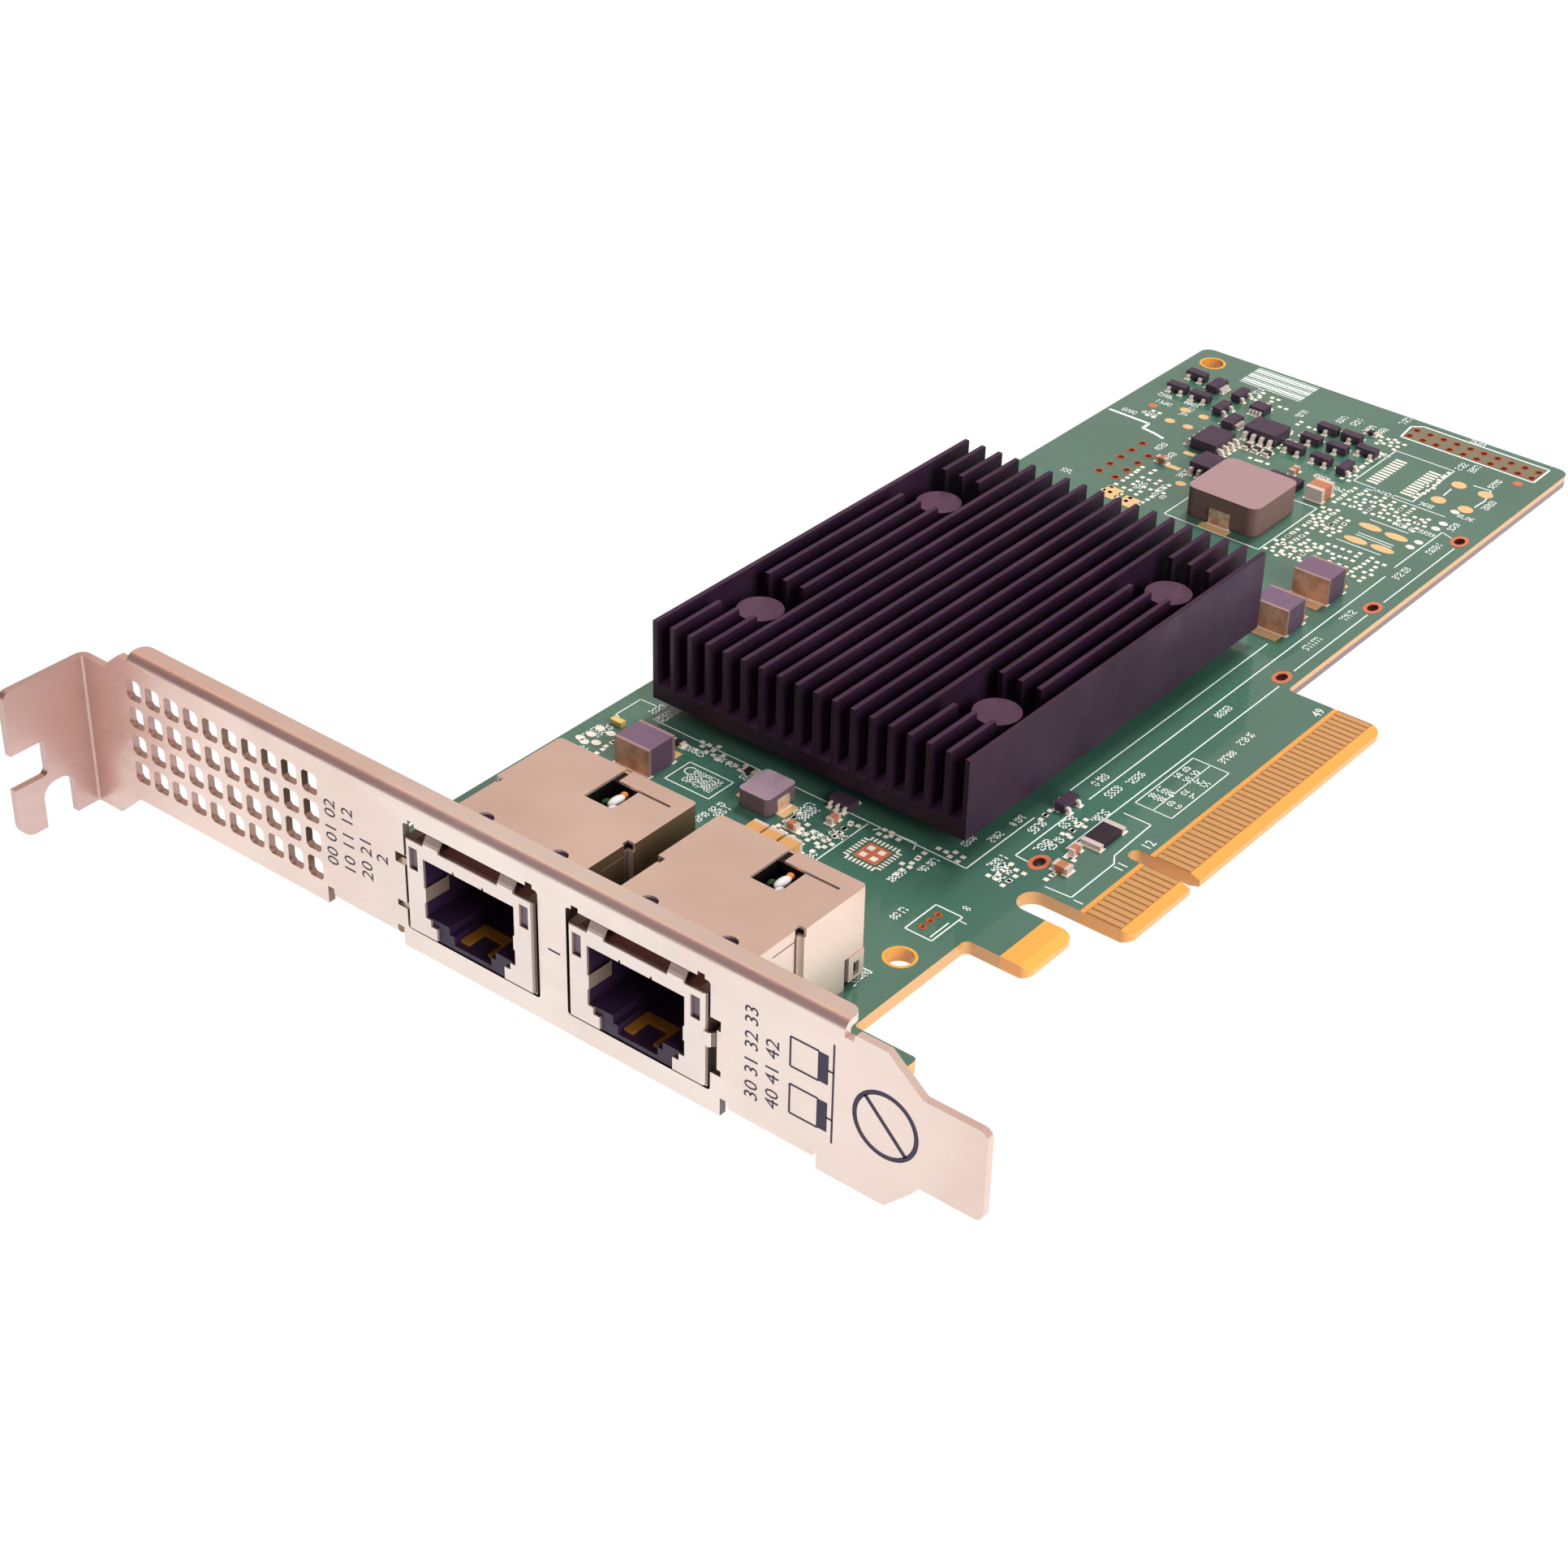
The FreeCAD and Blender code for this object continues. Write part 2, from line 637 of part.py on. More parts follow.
def top_flange():
    """Strip folded back along the top of the plate, with round plan corners."""
    section = [
        (BRACKET_OUT_Y, FLANGE_TOP_Z - FLANGE_BEND_R),
        (BRACKET_OUT_Y, FLANGE_TOP_Z, FLANGE_BEND_R),
        (FLANGE_BACK_Y, FLANGE_TOP_Z),
        (FLANGE_BACK_Y, FLANGE_TOP_Z - SHEET),
        (BRACKET_IN_Y, FLANGE_TOP_Z - SHEET, FLANGE_BEND_R - SHEET),
        (BRACKET_IN_Y, FLANGE_TOP_Z - FLANGE_BEND_R),
    ]
    plan = [
        (FLANGE_LEFT_X, BRACKET_OUT_Y - 1),
        (FLANGE_RIGHT_X, BRACKET_OUT_Y - 1),
        (FLANGE_RIGHT_X, FLANGE_BACK_Y, FLANGE_CORNER_R),
        (FLANGE_LEFT_X, FLANGE_BACK_Y, FLANGE_CORNER_R),
    ]
    strip = prism(section, "yz", FLANGE_LEFT_X, FLANGE_RIGHT_X)
    return strip.common(prism(plan, "xy", 0, FLANGE_TOP_Z + 1))


def screw_tab():
    """Neck and the tab turned outwards that is screwed to the computer's case."""
    section = [
        (NECK_X, BRACKET_OUT_Y),
        (TAB_FACE_X + SHEET, BRACKET_OUT_Y, TAB_BEND_R),
        (TAB_FACE_X + SHEET, TAB_OUT_Y),
        (TAB_FACE_X, TAB_OUT_Y),
        (TAB_FACE_X, BRACKET_IN_Y, TAB_BEND_R + SHEET),
        (NECK_X, BRACKET_IN_Y),
    ]
    slot_low = SCREW_SLOT_MID_Z - SCREW_SLOT_WIDE / 2
    slot_high = SCREW_SLOT_MID_Z + SCREW_SLOT_WIDE / 2
    side = [
        (BRACKET_IN_Y, NECK_HIGH_Z),
        (TAB_OUT_Y, NECK_HIGH_Z, TAB_CORNER_R),
        (TAB_OUT_Y, slot_high),
        (SCREW_SLOT_END_Y, slot_high, SCREW_SLOT_R),
        (SCREW_SLOT_END_Y, slot_low, SCREW_SLOT_R),
        (TAB_OUT_Y, slot_low),
        (TAB_OUT_Y, NECK_LOW_Z, LOBE_CORNER_R),
        (RELIEF_CUT_LEFT_Y, NECK_LOW_Z),
        (RELIEF_CUT_LEFT_Y, RELIEF_CUT_TOP_Z, RELIEF_CUT_R),
        (RELIEF_CUT_RIGHT_Y, RELIEF_CUT_TOP_Z, RELIEF_CUT_R),
        (RELIEF_CUT_RIGHT_Y, NECK_LOW_Z),
        (BRACKET_IN_Y, NECK_LOW_Z),
    ]
    bent = prism(section, "xy", NECK_LOW_Z, NECK_HIGH_Z)
    return bent.common(prism(side, "yz", TAB_FACE_X - 1, NECK_X + 1))


def board_tab(left, right):
    """Tab folded back under the board, threaded for its screw."""
    top = -BOARD_THICK
    low = top - SHEET
    section = [
        (BRACKET_OUT_Y, BOARD_TAB_RELIEF_Z),
        (BRACKET_OUT_Y, low, BOARD_TAB_BEND_R + SHEET),
        (BRACKET_IN_Y + BOARD_TAB_LONG, low),
        (BRACKET_IN_Y + BOARD_TAB_LONG, top),
        (BRACKET_IN_Y, top, BOARD_TAB_BEND_R),
        (BRACKET_IN_Y, BOARD_TAB_RELIEF_Z),
    ]
    plan = [
        (left, BRACKET_OUT_Y - 1),
        (right, BRACKET_OUT_Y - 1),
        (right, BRACKET_IN_Y + BOARD_TAB_LONG, BOARD_TAB_CORNER_R),
        (left, BRACKET_IN_Y + BOARD_TAB_LONG, BOARD_TAB_CORNER_R),
    ]
    tab = prism(section, "yz", left, right)
    tab = tab.common(prism(plan, "xy", low - 1, top + 2))
    hole = rod((left + right) / 2, BRACKET_IN_Y + SCREW_BACK, SCREW_R, low - 1, top + 1,
               HOLE_SIDES)
    return tab.cut(hole)


def port_window(number):
    """Opening in the plate for one socket, with its top notches and its side ears."""
    x = PORT_XS[number] + WINDOW_SHIFT
    half = PORT_HALF + WINDOW_SLACK
    notch_out = half - WINDOW_NOTCH_IN
    notch_in = notch_out - WINDOW_NOTCH_WIDE
    points = [
        (x - half, WINDOW_LOW_Z, WINDOW_CORNER_R),
        (x + half, WINDOW_LOW_Z, WINDOW_CORNER_R),
        (x + half, WINDOW_HIGH_Z, WINDOW_CORNER_R),
        (x + notch_out, WINDOW_HIGH_Z),
        (x + notch_out, WINDOW_NOTCH_Z),
        (x + notch_in, WINDOW_NOTCH_Z),
        (x + notch_in, WINDOW_HIGH_Z),
        (x - notch_in, WINDOW_HIGH_Z),
        (x - notch_in, WINDOW_NOTCH_Z),
        (x - notch_out, WINDOW_NOTCH_Z),
        (x - notch_out, WINDOW_HIGH_Z),
        (x - half, WINDOW_HIGH_Z, WINDOW_CORNER_R),
    ]
    window = prism(points, "xz", BRACKET_OUT_Y - 1, BRACKET_IN_Y + 1)
    side = leaf_side(number)
    through = (BRACKET_OUT_Y - 1, BRACKET_IN_Y + 1)
    ear = [x + end for end in sided(side, half - 1, half + RECESS_EAR_WIDE)]
    window = window.fuse([
        box(ear, through, (RECESS_LOW_Z, RECESS_LOW_Z + RECESS_EAR_LOW)),
        box(ear, through, (RECESS_HIGH_Z - RECESS_EAR_HIGH, RECESS_HIGH_Z)),
    ])
    if number != LEAF_PORT:
        return window
    recess = [x + end for end in sided(side, half - 1, half + RECESS_WIDE)]
    return window.fuse(box(recess, through, (RECESS_LOW_Z, RECESS_HIGH_Z)))


def vent_holes():
    holes = []
    for column in range(VENT_COLUMNS):
        for row in range(VENT_ROWS):
            x = VENT_FIRST_X + VENT_PITCH_X * column
            z = VENT_TOP_ROW_Z - VENT_PITCH_Z * row
            hole = cut_rectangle(x, z, VENT_WIDE / 2, VENT_TALL / 2, VENT_CORNER_CUT)
            holes.append(prism(hole, "xz", BRACKET_OUT_Y - 1, BRACKET_IN_Y + 1))
    return holes


def bracket():
    plate = bracket_front().cut(vent_holes() + [port_window(number) for number in PORT_XS])
    tabs = [board_tab(left, right) for left, right in BOARD_TAB_SPANS]
    return united([plate, top_flange(), screw_tab()] + tabs)


def bracket_screws():
    screws = []
    for x, y in screw_spots():
        brim = SCREW_HEAD_TALL - SCREW_HEAD_BEVEL
        head = rod(x, y, SCREW_HEAD_R, 0, brim, HEAD_SIDES)
        crown = tapered_rod(x, y, SCREW_HEAD_R, SCREW_HEAD_R - SCREW_HEAD_BEVEL, brim,
                            SCREW_HEAD_TALL, HEAD_SIDES)
        shank = rod(x, y, SCREW_R, -BOARD_THICK - SHEET - SCREW_TAIL, 0, HOLE_SIDES)
        arms = []
        for degrees in (0, 90):
            arm = block(0, 0, SCREW_RECESS_R * 2, SCREW_RECESS_WIDE,
                        SCREW_HEAD_TALL - SCREW_RECESS_DEEP, SCREW_HEAD_TALL + 1)
            arms.append(turned(arm, x, y, degrees))
        screws.append(united([head, crown, shank]).cut(arms))
    return group(screws)


# ================================================================ sockets
def sided(side, low, high):
    """Span from low to high on the +X side (1), or its mirror on the -X side (-1)."""
    return (low, high) if side == 1 else (-high, -low)


def leaf_side(number):
    """Side of a socket that carries its outer leaf: the one away from its neighbour."""
    return 1 if number == 1 else -1


def shell_plan(inset, front):
    """Stepped plan of a socket's shell, drawn in from its outside by an inset."""
    neck = PORT_HALF - inset
    wide = PORT_REAR_HALF - inset
    rear = PORT_REAR_Y - inset
    bend = max(SHELL_BEND - inset, 0.05)
    right = [
        (neck - bend, front),
        (neck, front + bend),
        (neck, PORT_STEP_Y + inset),
        (wide, PORT_STEP_Y + inset),
        (wide, rear - bend),
        (wide - bend, rear),
    ]
    left = [(-x, y) for x, y in reversed(right)]
    return right + left


def shell_filling(near, far):
    """Solid that fills the shell's inside between two places along it."""
    top = PORT_TOP_Z - SHELL_THICK
    inside = prism(shell_plan(SHELL_THICK, SHELL_BACK_Y), "xy", 0, top)
    return inside.common(box((-PORT_REAR_HALF, PORT_REAR_HALF), (near, far), (-1, top + 1)))


def frame_opening():
    """Opening in the front of the shell: stepped like the plug, open at the bottom."""
    half = CAVITY_HALF - FRAME_LIP
    top = CAVITY_TOP_Z + FRAME_LIP
    right = [
        (FRAME_NOTCH_X, top),
        (half, top),
        (half, LEDGE_Z),
        (FRAME_KEYWAY_HALF, LEDGE_Z),
        (FRAME_KEYWAY_HALF, FRAME_KEYWAY_Z),
        (FRAME_LATCH_HALF, FRAME_KEYWAY_Z),
        (FRAME_LATCH_HALF, -1),
    ]
    left = [(-x, z) for x, z in reversed(right)]
    return right + left


def front_cuts():
    """Plug opening, its two top notches, light windows and low edge of the front."""
    depth = (PORT_FACE_Y - 1, SHELL_BACK_Y)
    notch_top = CAVITY_TOP_Z + FRAME_LIP + FRAME_NOTCH_DEEP
    cuts = [prism(frame_opening(), "xz", depth[0], depth[1])]
    cuts.append(box((-PORT_REAR_HALF, PORT_REAR_HALF), depth, (-1, FRAME_LOW_Z)))
    for side in (-1, 1):
        cuts.append(box(sided(side, FRAME_NOTCH_X, FRAME_NOTCH_X + FRAME_NOTCH_WIDE), depth,
                        (CAVITY_TOP_Z, notch_top)))
        cuts.append(box(sided(side, LIGHT_IN, LIGHT_OUT), depth, (LIGHT_LOW_Z, LIGHT_HIGH_Z)))
    return cuts


def top_cuts():
    """Half-round holes, rear window with its strip, and the slit beside it."""
    above = (PORT_TOP_Z - SHELL_THICK, PORT_TOP_Z + 1)
    cuts = []
    for side in (-1, 1):
        angles = [math.pi * step / MOON_STEPS for step in range(MOON_STEPS + 1)]
        moon = [(side * MOON_X + MOON_LONG / 2 * math.cos(a), MOON_Y + MOON_DEEP * math.sin(a))
                for a in angles]
        cuts.append(prism(moon, "xy", above[0], above[1]))
    cuts.append(box(TOP_CUT_X, TOP_CUT_Y, above))
    cuts.append(box(TOP_STRIP_X, (TOP_CUT_Y[1] - 0.1, PORT_REAR_Y + 1), above))
    cuts.append(box(TOP_SLIT_X, (TOP_CUT_Y[1] - SLIT_WIDE, TOP_CUT_Y[1]), above))
    return cuts


def side_cuts(side):
    """Fold reliefs at the step in width and round the rear panel's tab, on one side."""
    slit_y = PORT_STEP_Y - SLIT_WIDE
    neck = sided(side, PORT_HALF - SHELL_THICK, PORT_HALF + 1)
    wide = sided(side, PORT_REAR_HALF - SHELL_THICK, PORT_REAR_HALF + 1)
    tab_y = PORT_REAR_Y - TAB_LONG
    hole_y = PORT_REAR_Y - TAB_HOLE_BACK
    return [
        box(sided(side, PORT_HALF - SHELL_THICK, PORT_REAR_HALF + 1),
            (PORT_STEP_Y - STEP_NOTCH_LONG, PORT_STEP_Y + SHELL_THICK),
            (PORT_TOP_Z - STEP_NOTCH_DEEP, PORT_TOP_Z + 1)),
        box(neck, (slit_y - SLIT_WIDE, slit_y), (STEP_SLIT_LOW_Z, PORT_TOP_Z - STEP_NOTCH_DEEP)),
        box(neck, (slit_y - SIDE_SLIT_LONG, slit_y), (SIDE_SLIT_Z, SIDE_SLIT_Z + SIDE_SLIT_HIGH)),
        box(wide, (tab_y - TAB_GAP, tab_y), (-1, TAB_HIGH_Z)),
        box(wide, (tab_y - TAB_GAP, PORT_REAR_Y - SHELL_BEND), (-1, TAB_LOW_Z)),
        box(wide, (hole_y - TAB_HOLE_LONG, hole_y), (TAB_HOLE_LOW_Z, TAB_HOLE_HIGH_Z)),
    ]


def rear_tab(side):
    """Tab of the rear panel folded flat against the outside of one side."""
    hole_y = PORT_REAR_Y - TAB_HOLE_BACK
    across = sided(side, PORT_REAR_HALF - SHELL_THICK, PORT_REAR_HALF + TAB_PROUD)
    tab = box(across, (PORT_REAR_Y - TAB_LONG, PORT_REAR_Y - SHELL_BEND),
              (TAB_LOW_Z, TAB_HIGH_Z))
    hole = box(across, (hole_y - TAB_HOLE_LONG, hole_y), (TAB_HOLE_LOW_Z, TAB_HOLE_HIGH_Z))
    return tab.cut(hole)


def port_shield(number):
    """Folded sheet shell of one socket, with its framed front, leaves and reliefs."""
    outside = prism(shell_plan(0, PORT_FACE_Y), "xy", 0, PORT_TOP_Z)
    inside = prism(shell_plan(SHELL_THICK, SHELL_BACK_Y), "xy", -1, PORT_TOP_Z - SHELL_THICK)
    shell = outside.cut([inside] + front_cuts() + top_cuts() + side_cuts(-1) + side_cuts(1))
    parts = [shell]
    for side in (-1, 1):
        parts.append(top_leaf(side * MOON_X))
        parts.append(plug_spring(side))
        parts.append(rear_tab(side))
    if number == LEAF_PORT:
        parts.append(side_leaf(leaf_side(number)))
    return turned(united(parts), PORT_XS[number], 0, 0)


def leaf_section(face, rise):
    """Bowed leaf on a face of the shell: (distance along the shell, height) points."""
    front = PORT_FACE_Y
    crest = face + rise
    end = front + LEAF_LONG
    return [
        (front, face - SHELL_THICK),
        (front, face + LEAF_LIP),
        (front + LEAF_CREST_START, crest),
        (front + LEAF_CREST_END, crest),
        (end, face),
        (end - LEAF_ROOT_LONG, face),
        (front + LEAF_CREST_END - LEAF_INNER, crest - SHELL_THICK),
        (front + LEAF_CREST_START + LEAF_INNER, crest - SHELL_THICK),
        (front + SHELL_THICK, face + LEAF_LIP - LEAF_INNER),
        (front + SHELL_THICK, face - SHELL_THICK),
    ]


def top_leaf(x):
    """Leaf of the shell's top, bowed up against the bracket window."""
    return prism(leaf_section(PORT_TOP_Z, LEAF_RISE), "yz", x - TOP_LEAF_WIDE / 2, x + TOP_LEAF_WIDE / 2)


def side_leaf(side):
    """Leaf of the shell's side, bowed out into the window's side recess."""
    points = [(side * x, y) for y, x in leaf_section(PORT_HALF, SIDE_LEAF_RISE)]
    return prism(points, "xy", SIDE_LEAF_LOW_Z, SIDE_LEAF_HIGH_Z)


def plug_spring(side):
    """Leaf folded in from the edge of the front opening, to touch the plug's side."""
    root = CAVITY_HALF - FRAME_LIP
    tip = root - PLUG_SPRING_LEAN
    end = PORT_FACE_Y + PLUG_SPRING_LONG
    points = [
        (root, PORT_FACE_Y),
        (root, SHELL_BACK_Y),
        (tip + PLUG_SPRING_THICK, end),
        (tip, end),
        (root - PLUG_SPRING_THICK, PORT_FACE_Y),
    ]
    return prism([(side * x, y) for x, y in points], "xy", PLUG_SPRING_LOW_Z, PLUG_SPRING_HIGH_Z)


def cavity_outline():
    """Stepped plug opening of the plastic body seen from the front, latch side down."""
    right = [
        (CAVITY_HALF, CAVITY_TOP_Z),
        (CAVITY_HALF, LEDGE_Z),
        (KEYWAY_HALF, LEDGE_Z),
        (KEYWAY_HALF, KEYWAY_LOW_Z),
        (LATCH_HALF, KEYWAY_LOW_Z),
        (LATCH_HALF, LATCH_LOW_Z),
    ]
    left = [(-x, z) for x, z in reversed(right)]
    return right + left


def light_box(side, front):
    return box(sided(side, LIGHT_IN, LIGHT_OUT), (front, PORT_FACE_Y + LIGHT_LONG),
               (LIGHT_LOW_Z, LIGHT_HIGH_Z))


def port_housing(number):
    """Plastic body filling the front of the shell round the plug opening."""
    body = shell_filling(SHELL_BACK_Y, MODULE_FRONT_Y)
    cuts = [prism(cavity_outline(), "xz", SHELL_BACK_Y - 1, CAVITY_BACK_Y)]
    for side in (-1, 1):
        cuts.append(light_box(side, SHELL_BACK_Y - 1))
    for x in wire_xs():
        cuts.append(block(x, CAVITY_BACK_Y, WIRE_WIDE, WIRE_SLOT_LONG,
                          CAVITY_TOP_Z - WIRE_THICK * 2, CAVITY_TOP_Z - WIRE_THICK))
    return turned(body.cut(cuts).removeSplitter(), PORT_XS[number], 0, 0)


def port_lights(number):
    pipes = [light_box(side, SHELL_BACK_Y) for side in (-1, 1)]
    return turned(group(pipes), PORT_XS[number], 0, 0)


def wire_xs():
    first = -WIRE_PITCH * (WIRE_COUNT - 1) / 2
    return [first + WIRE_PITCH * index for index in range(WIRE_COUNT)]


def port_contacts(number):
    """Spring wires: forward under the roof of the opening, then folded back down."""
    top = CAVITY_TOP_Z - WIRE_THICK
    low = top - WIRE_THICK
    section = [
        (MODULE_FRONT_Y, top),
        (WIRE_FRONT_Y + WIRE_THICK * 2, top),
        (WIRE_FRONT_Y, top - WIRE_THICK * 1.2),
        (WIRE_FRONT_Y + WIRE_THICK * 0.6, top - WIRE_THICK * 3),
        (WIRE_TIP_Y, WIRE_TIP_Z),
        (WIRE_TIP_Y + WIRE_THICK * 0.4, WIRE_TIP_Z + WIRE_THICK),
        (WIRE_FRONT_Y + WIRE_THICK * 2.8, low - WIRE_THICK * 1.1),
        (WIRE_FRONT_Y + WIRE_THICK * 2.6, low),
        (MODULE_FRONT_Y, low),
    ]
    wires = [prism(section, "yz", x - WIRE_WIDE / 2, x + WIRE_WIDE / 2) for x in wire_xs()]
    return turned(group(wires), PORT_XS[number], 0, 0)


def port_insert(number):
    """Amber arch lying on the floor of the latch slot, its bar at the back."""
    points = [
        (-INSERT_OUT_HALF, INSERT_NEAR_Y),
        (-INSERT_IN_HALF, INSERT_NEAR_Y),
        (-INSERT_IN_HALF, INSERT_BACK_Y - INSERT_BAR_LONG),
        (INSERT_IN_HALF, INSERT_BACK_Y - INSERT_BAR_LONG),
        (INSERT_IN_HALF, INSERT_NEAR_Y),
        (INSERT_OUT_HALF, INSERT_NEAR_Y),
        (INSERT_OUT_HALF, INSERT_BACK_Y),
        (-INSERT_OUT_HALF, INSERT_BACK_Y),
    ]
    arch = prism(points, "xy", LATCH_LOW_Z, LATCH_LOW_Z + INSERT_THICK)
    return turned(arch, PORT_XS[number], 0, 0)


def port_magnetics(number):
    """Potted transformer block in the rear of the shell, open below the top window."""
    top = PORT_TOP_Z - SHELL_THICK
    body = shell_filling(MODULE_FRONT_Y, PORT_REAR_Y)
    well = box(TOP_CUT_X, TOP_CUT_Y, (top - WELL_DEEP, top + 1))
    return turned(body.cut(well).removeSplitter(), PORT_XS[number], 0, 0)


# ================================================================ heatsink
def pin_spots():
    return [(x, y) for x in PIN_XS for y in PIN_YS]


def heatsink():
    base = box(SINK_X, SINK_Y, (SINK_LOW_Z, SINK_BASE_Z))
    pitch = (SINK_X[1] - SINK_X[0] - FIN_THICK) / (FIN_COUNT - 1)
    fins = []
    for index in range(FIN_COUNT):
        left = SINK_X[0] + pitch * index
        fins.append(box((left, left + FIN_THICK), SINK_Y, (SINK_LOW_Z, SINK_TOP_Z)))
    cuts = []
    for x, y in pin_spots():
        cuts.append(block(x, y, PIN_POCKET_HALF_X * 2, PIN_POCKET_HALF_Y * 2,
                          SINK_BASE_Z, SINK_TOP_Z + 1))
        cuts.append(rod(x, y, PIN_SHANK_R + PIN_SLACK, SINK_LOW_Z - 1, SINK_BASE_Z + 1,
                        SHANK_SIDES))
    return united([base] + fins).cut(cuts).removeSplitter()


def heatsink_pins():
    """Flat-headed pins with a barbed tail that holds below the board."""
    pins = []
    under = -BOARD_THICK
    for x, y in pin_spots():
        head = rod(x, y, PIN_HEAD_R, PIN_TOP_Z - PIN_HEAD_TALL, PIN_TOP_Z, HEAD_SIDES)
        shank = rod(x, y, PIN_SHANK_R, under, PIN_TOP_Z - PIN_HEAD_TALL, SHANK_SIDES)
        barb = tapered_rod(x, y, PIN_TIP_R, PIN_BARB_R, under - PIN_TAIL, under, SHANK_SIDES)
        split = block(x, y, PIN_SPLIT_WIDE, PIN_BARB_R * 2 + 1, under - PIN_TAIL - 1,
                      under - PIN_SPLIT_STOP)
        pins.append(united([head, shank, barb]).cut(split))
    return group(pins)


def coil_ring(angle, low, high, sides):
    """Corners of the spring wire's section at one angle along the coil."""
    turns = angle / (2 * math.pi)
    centre_z = low + (high - low) * turns / SPRING_TURN_COUNT
    corners = []
    for index in range(sides):
        round_wire = 2 * math.pi * index / sides
        reach = SPRING_R + SPRING_WIRE_R * math.cos(round_wire)
        height = centre_z + SPRING_WIRE_R * math.sin(round_wire)
        corners.append(V(reach * math.cos(angle), reach * math.sin(angle), height))
    return corners


def coil(low, high, steps_a_turn=8, sides=4):
    """Coil spring made of flat facets, with both ends capped."""
    count = SPRING_TURN_COUNT * steps_a_turn
    rings = [coil_ring(2 * math.pi * step / steps_a_turn, low, high, sides)
             for step in range(count + 1)]
    faces = [facet(rings[0][::-1]), facet(rings[-1])]
    for here, there in zip(rings, rings[1:]):
        for index in range(sides):
            beside = (index + 1) % sides
            faces.append(facet([here[index], here[beside], there[beside]]))
            faces.append(facet([here[index], there[beside], there[index]]))
    solid = Part.Solid(Part.Shell(faces))
    return solid if solid.Volume > 0 else solid.reversed()


def heatsink_springs():
    """Coil spring between the heatsink's base and each pin head."""
    spring = coil(SINK_BASE_Z + SPRING_WIRE_R, PIN_TOP_Z - PIN_HEAD_TALL - SPRING_WIRE_R)
    springs = []
    for x, y in pin_spots():
        placed = spring.copy()
        placed.translate(V(x, y, 0))
        springs.append(placed)
    return group(springs)


def controller_chip():
    x, y = CHIP_MID
    return block(x, y, CHIP_HALF * 2, CHIP_HALF * 2, 0, CHIP_TOP_Z)


def thermal_pad():
    x, y = CHIP_MID
    return block(x, y, CHIP_HALF * 2, CHIP_HALF * 2, CHIP_TOP_Z, SINK_LOW_Z)


# ================================================================ wound parts
def moulded_block(x_span, y_span, tall, corner_r):
    points = rounded_rectangle(x_span[0], x_span[1], y_span[0], y_span[1], corner_r)
    return prism(points, "xy", INDUCTOR_STAND_OFF, tall)


def side_terminals(x_span, y_span, wide, tall, along):
    """Sheet terminals folded up two opposite sides, each with a foot on the board."""
    pieces = []
    middle_x = sum(x_span) / 2
    middle_y = sum(y_span) / 2
    reach = (y_span[1] - y_span[0]) / 2 if along == "y" else (x_span[1] - x_span[0]) / 2
    for degrees in (0, 180):
        section = [
            (-reach - TERMINAL_THICK, 0),
            (-reach - TERMINAL_THICK, tall),
            (-reach, tall),
            (-reach, INDUCTOR_STAND_OFF),
            (-reach + TERMINAL_FOOT, INDUCTOR_STAND_OFF),
            (-reach + TERMINAL_FOOT, 0),
        ]
        strip = prism(section, "yz", -wide / 2, wide / 2)
        turn = degrees if along == "y" else degrees + 90
        pieces.append(turned(strip, middle_x, middle_y, turn))
    return group(pieces)


def power_inductor():
    return moulded_block(POWER_INDUCTOR_X, POWER_INDUCTOR_Y, POWER_INDUCTOR_TALL,
                         POWER_INDUCTOR_CORNER_R)


def filter_inductor():
    return moulded_block(FILTER_INDUCTOR_X, FILTER_INDUCTOR_Y, FILTER_INDUCTOR_TALL,
                         FILTER_INDUCTOR_CORNER_R)


def ferrite_blocks():
    long = FERRITE_LONG - FERRITE_END_THICK * 2
    return group([block(x, y, FERRITE_WIDE, long, 0, FERRITE_TALL) for x, y in FERRITE_SPOTS])


def ferrite_block_ends():
    """Metal caps over two opposite sides of each ferrite block."""
    ends = []
    for x, y in FERRITE_SPOTS:
        for side in (-1, 1):
            middle = y + side * (FERRITE_LONG - FERRITE_END_THICK) / 2
            ends.append(block(x, middle, FERRITE_WIDE, FERRITE_END_THICK, 0, FERRITE_TALL))
    return group(ends)


# ================================================================ chips
def ended_chip(x, y, long, wide, tall, axis, end):
    """Chip part: its body and its two metal ends, as separate solids."""
    half = long / 2
    body = block(0, 0, long - end * 2, wide, 0, tall)
    ends = [block(side * (half - end / 2), 0, end, wide, 0, tall) for side in (-1, 1)]
    degrees = 0 if axis == "x" else 90
    return turned(body, x, y, degrees), [turned(cap, x, y, degrees) for cap in ends]


def ended_chips(spots):
    bodies = []
    ends = []
    for x, y, long, wide, tall, axis in spots:
        body, caps = ended_chip(x, y, long, wide, tall, axis, long * CHIP_END_SHARE)
        bodies.append(body)
        ends += caps
    return group(bodies), group(ends)


def gull_lead(reach, wide, thick, start, shoulder):
    """One lead leaving a body's side towards -Y at the origin and standing on the board."""
    bend = start - reach * 0.45
    section = [
        (start, shoulder - thick / 2),
        (start, shoulder + thick / 2),
        (bend - thick, shoulder + thick / 2),
        (start - reach, thick),
        (start - reach, 0),
        (bend, 0),
    ]
    return prism(section, "yz", -wide / 2, wide / 2)


def leads_along(count, pitch, reach, wide, thick, body_wide, shoulder, degrees):
    leads = []
    for index in range(count):
        lead = gull_lead(reach, wide, thick, -body_wide / 2, shoulder)
        lead.translate(V((index - (count - 1) / 2) * pitch, 0, 0))
        lead.rotate(V(0, 0, 0), V(0, 0, 1), degrees)
        leads.append(lead)
    return leads


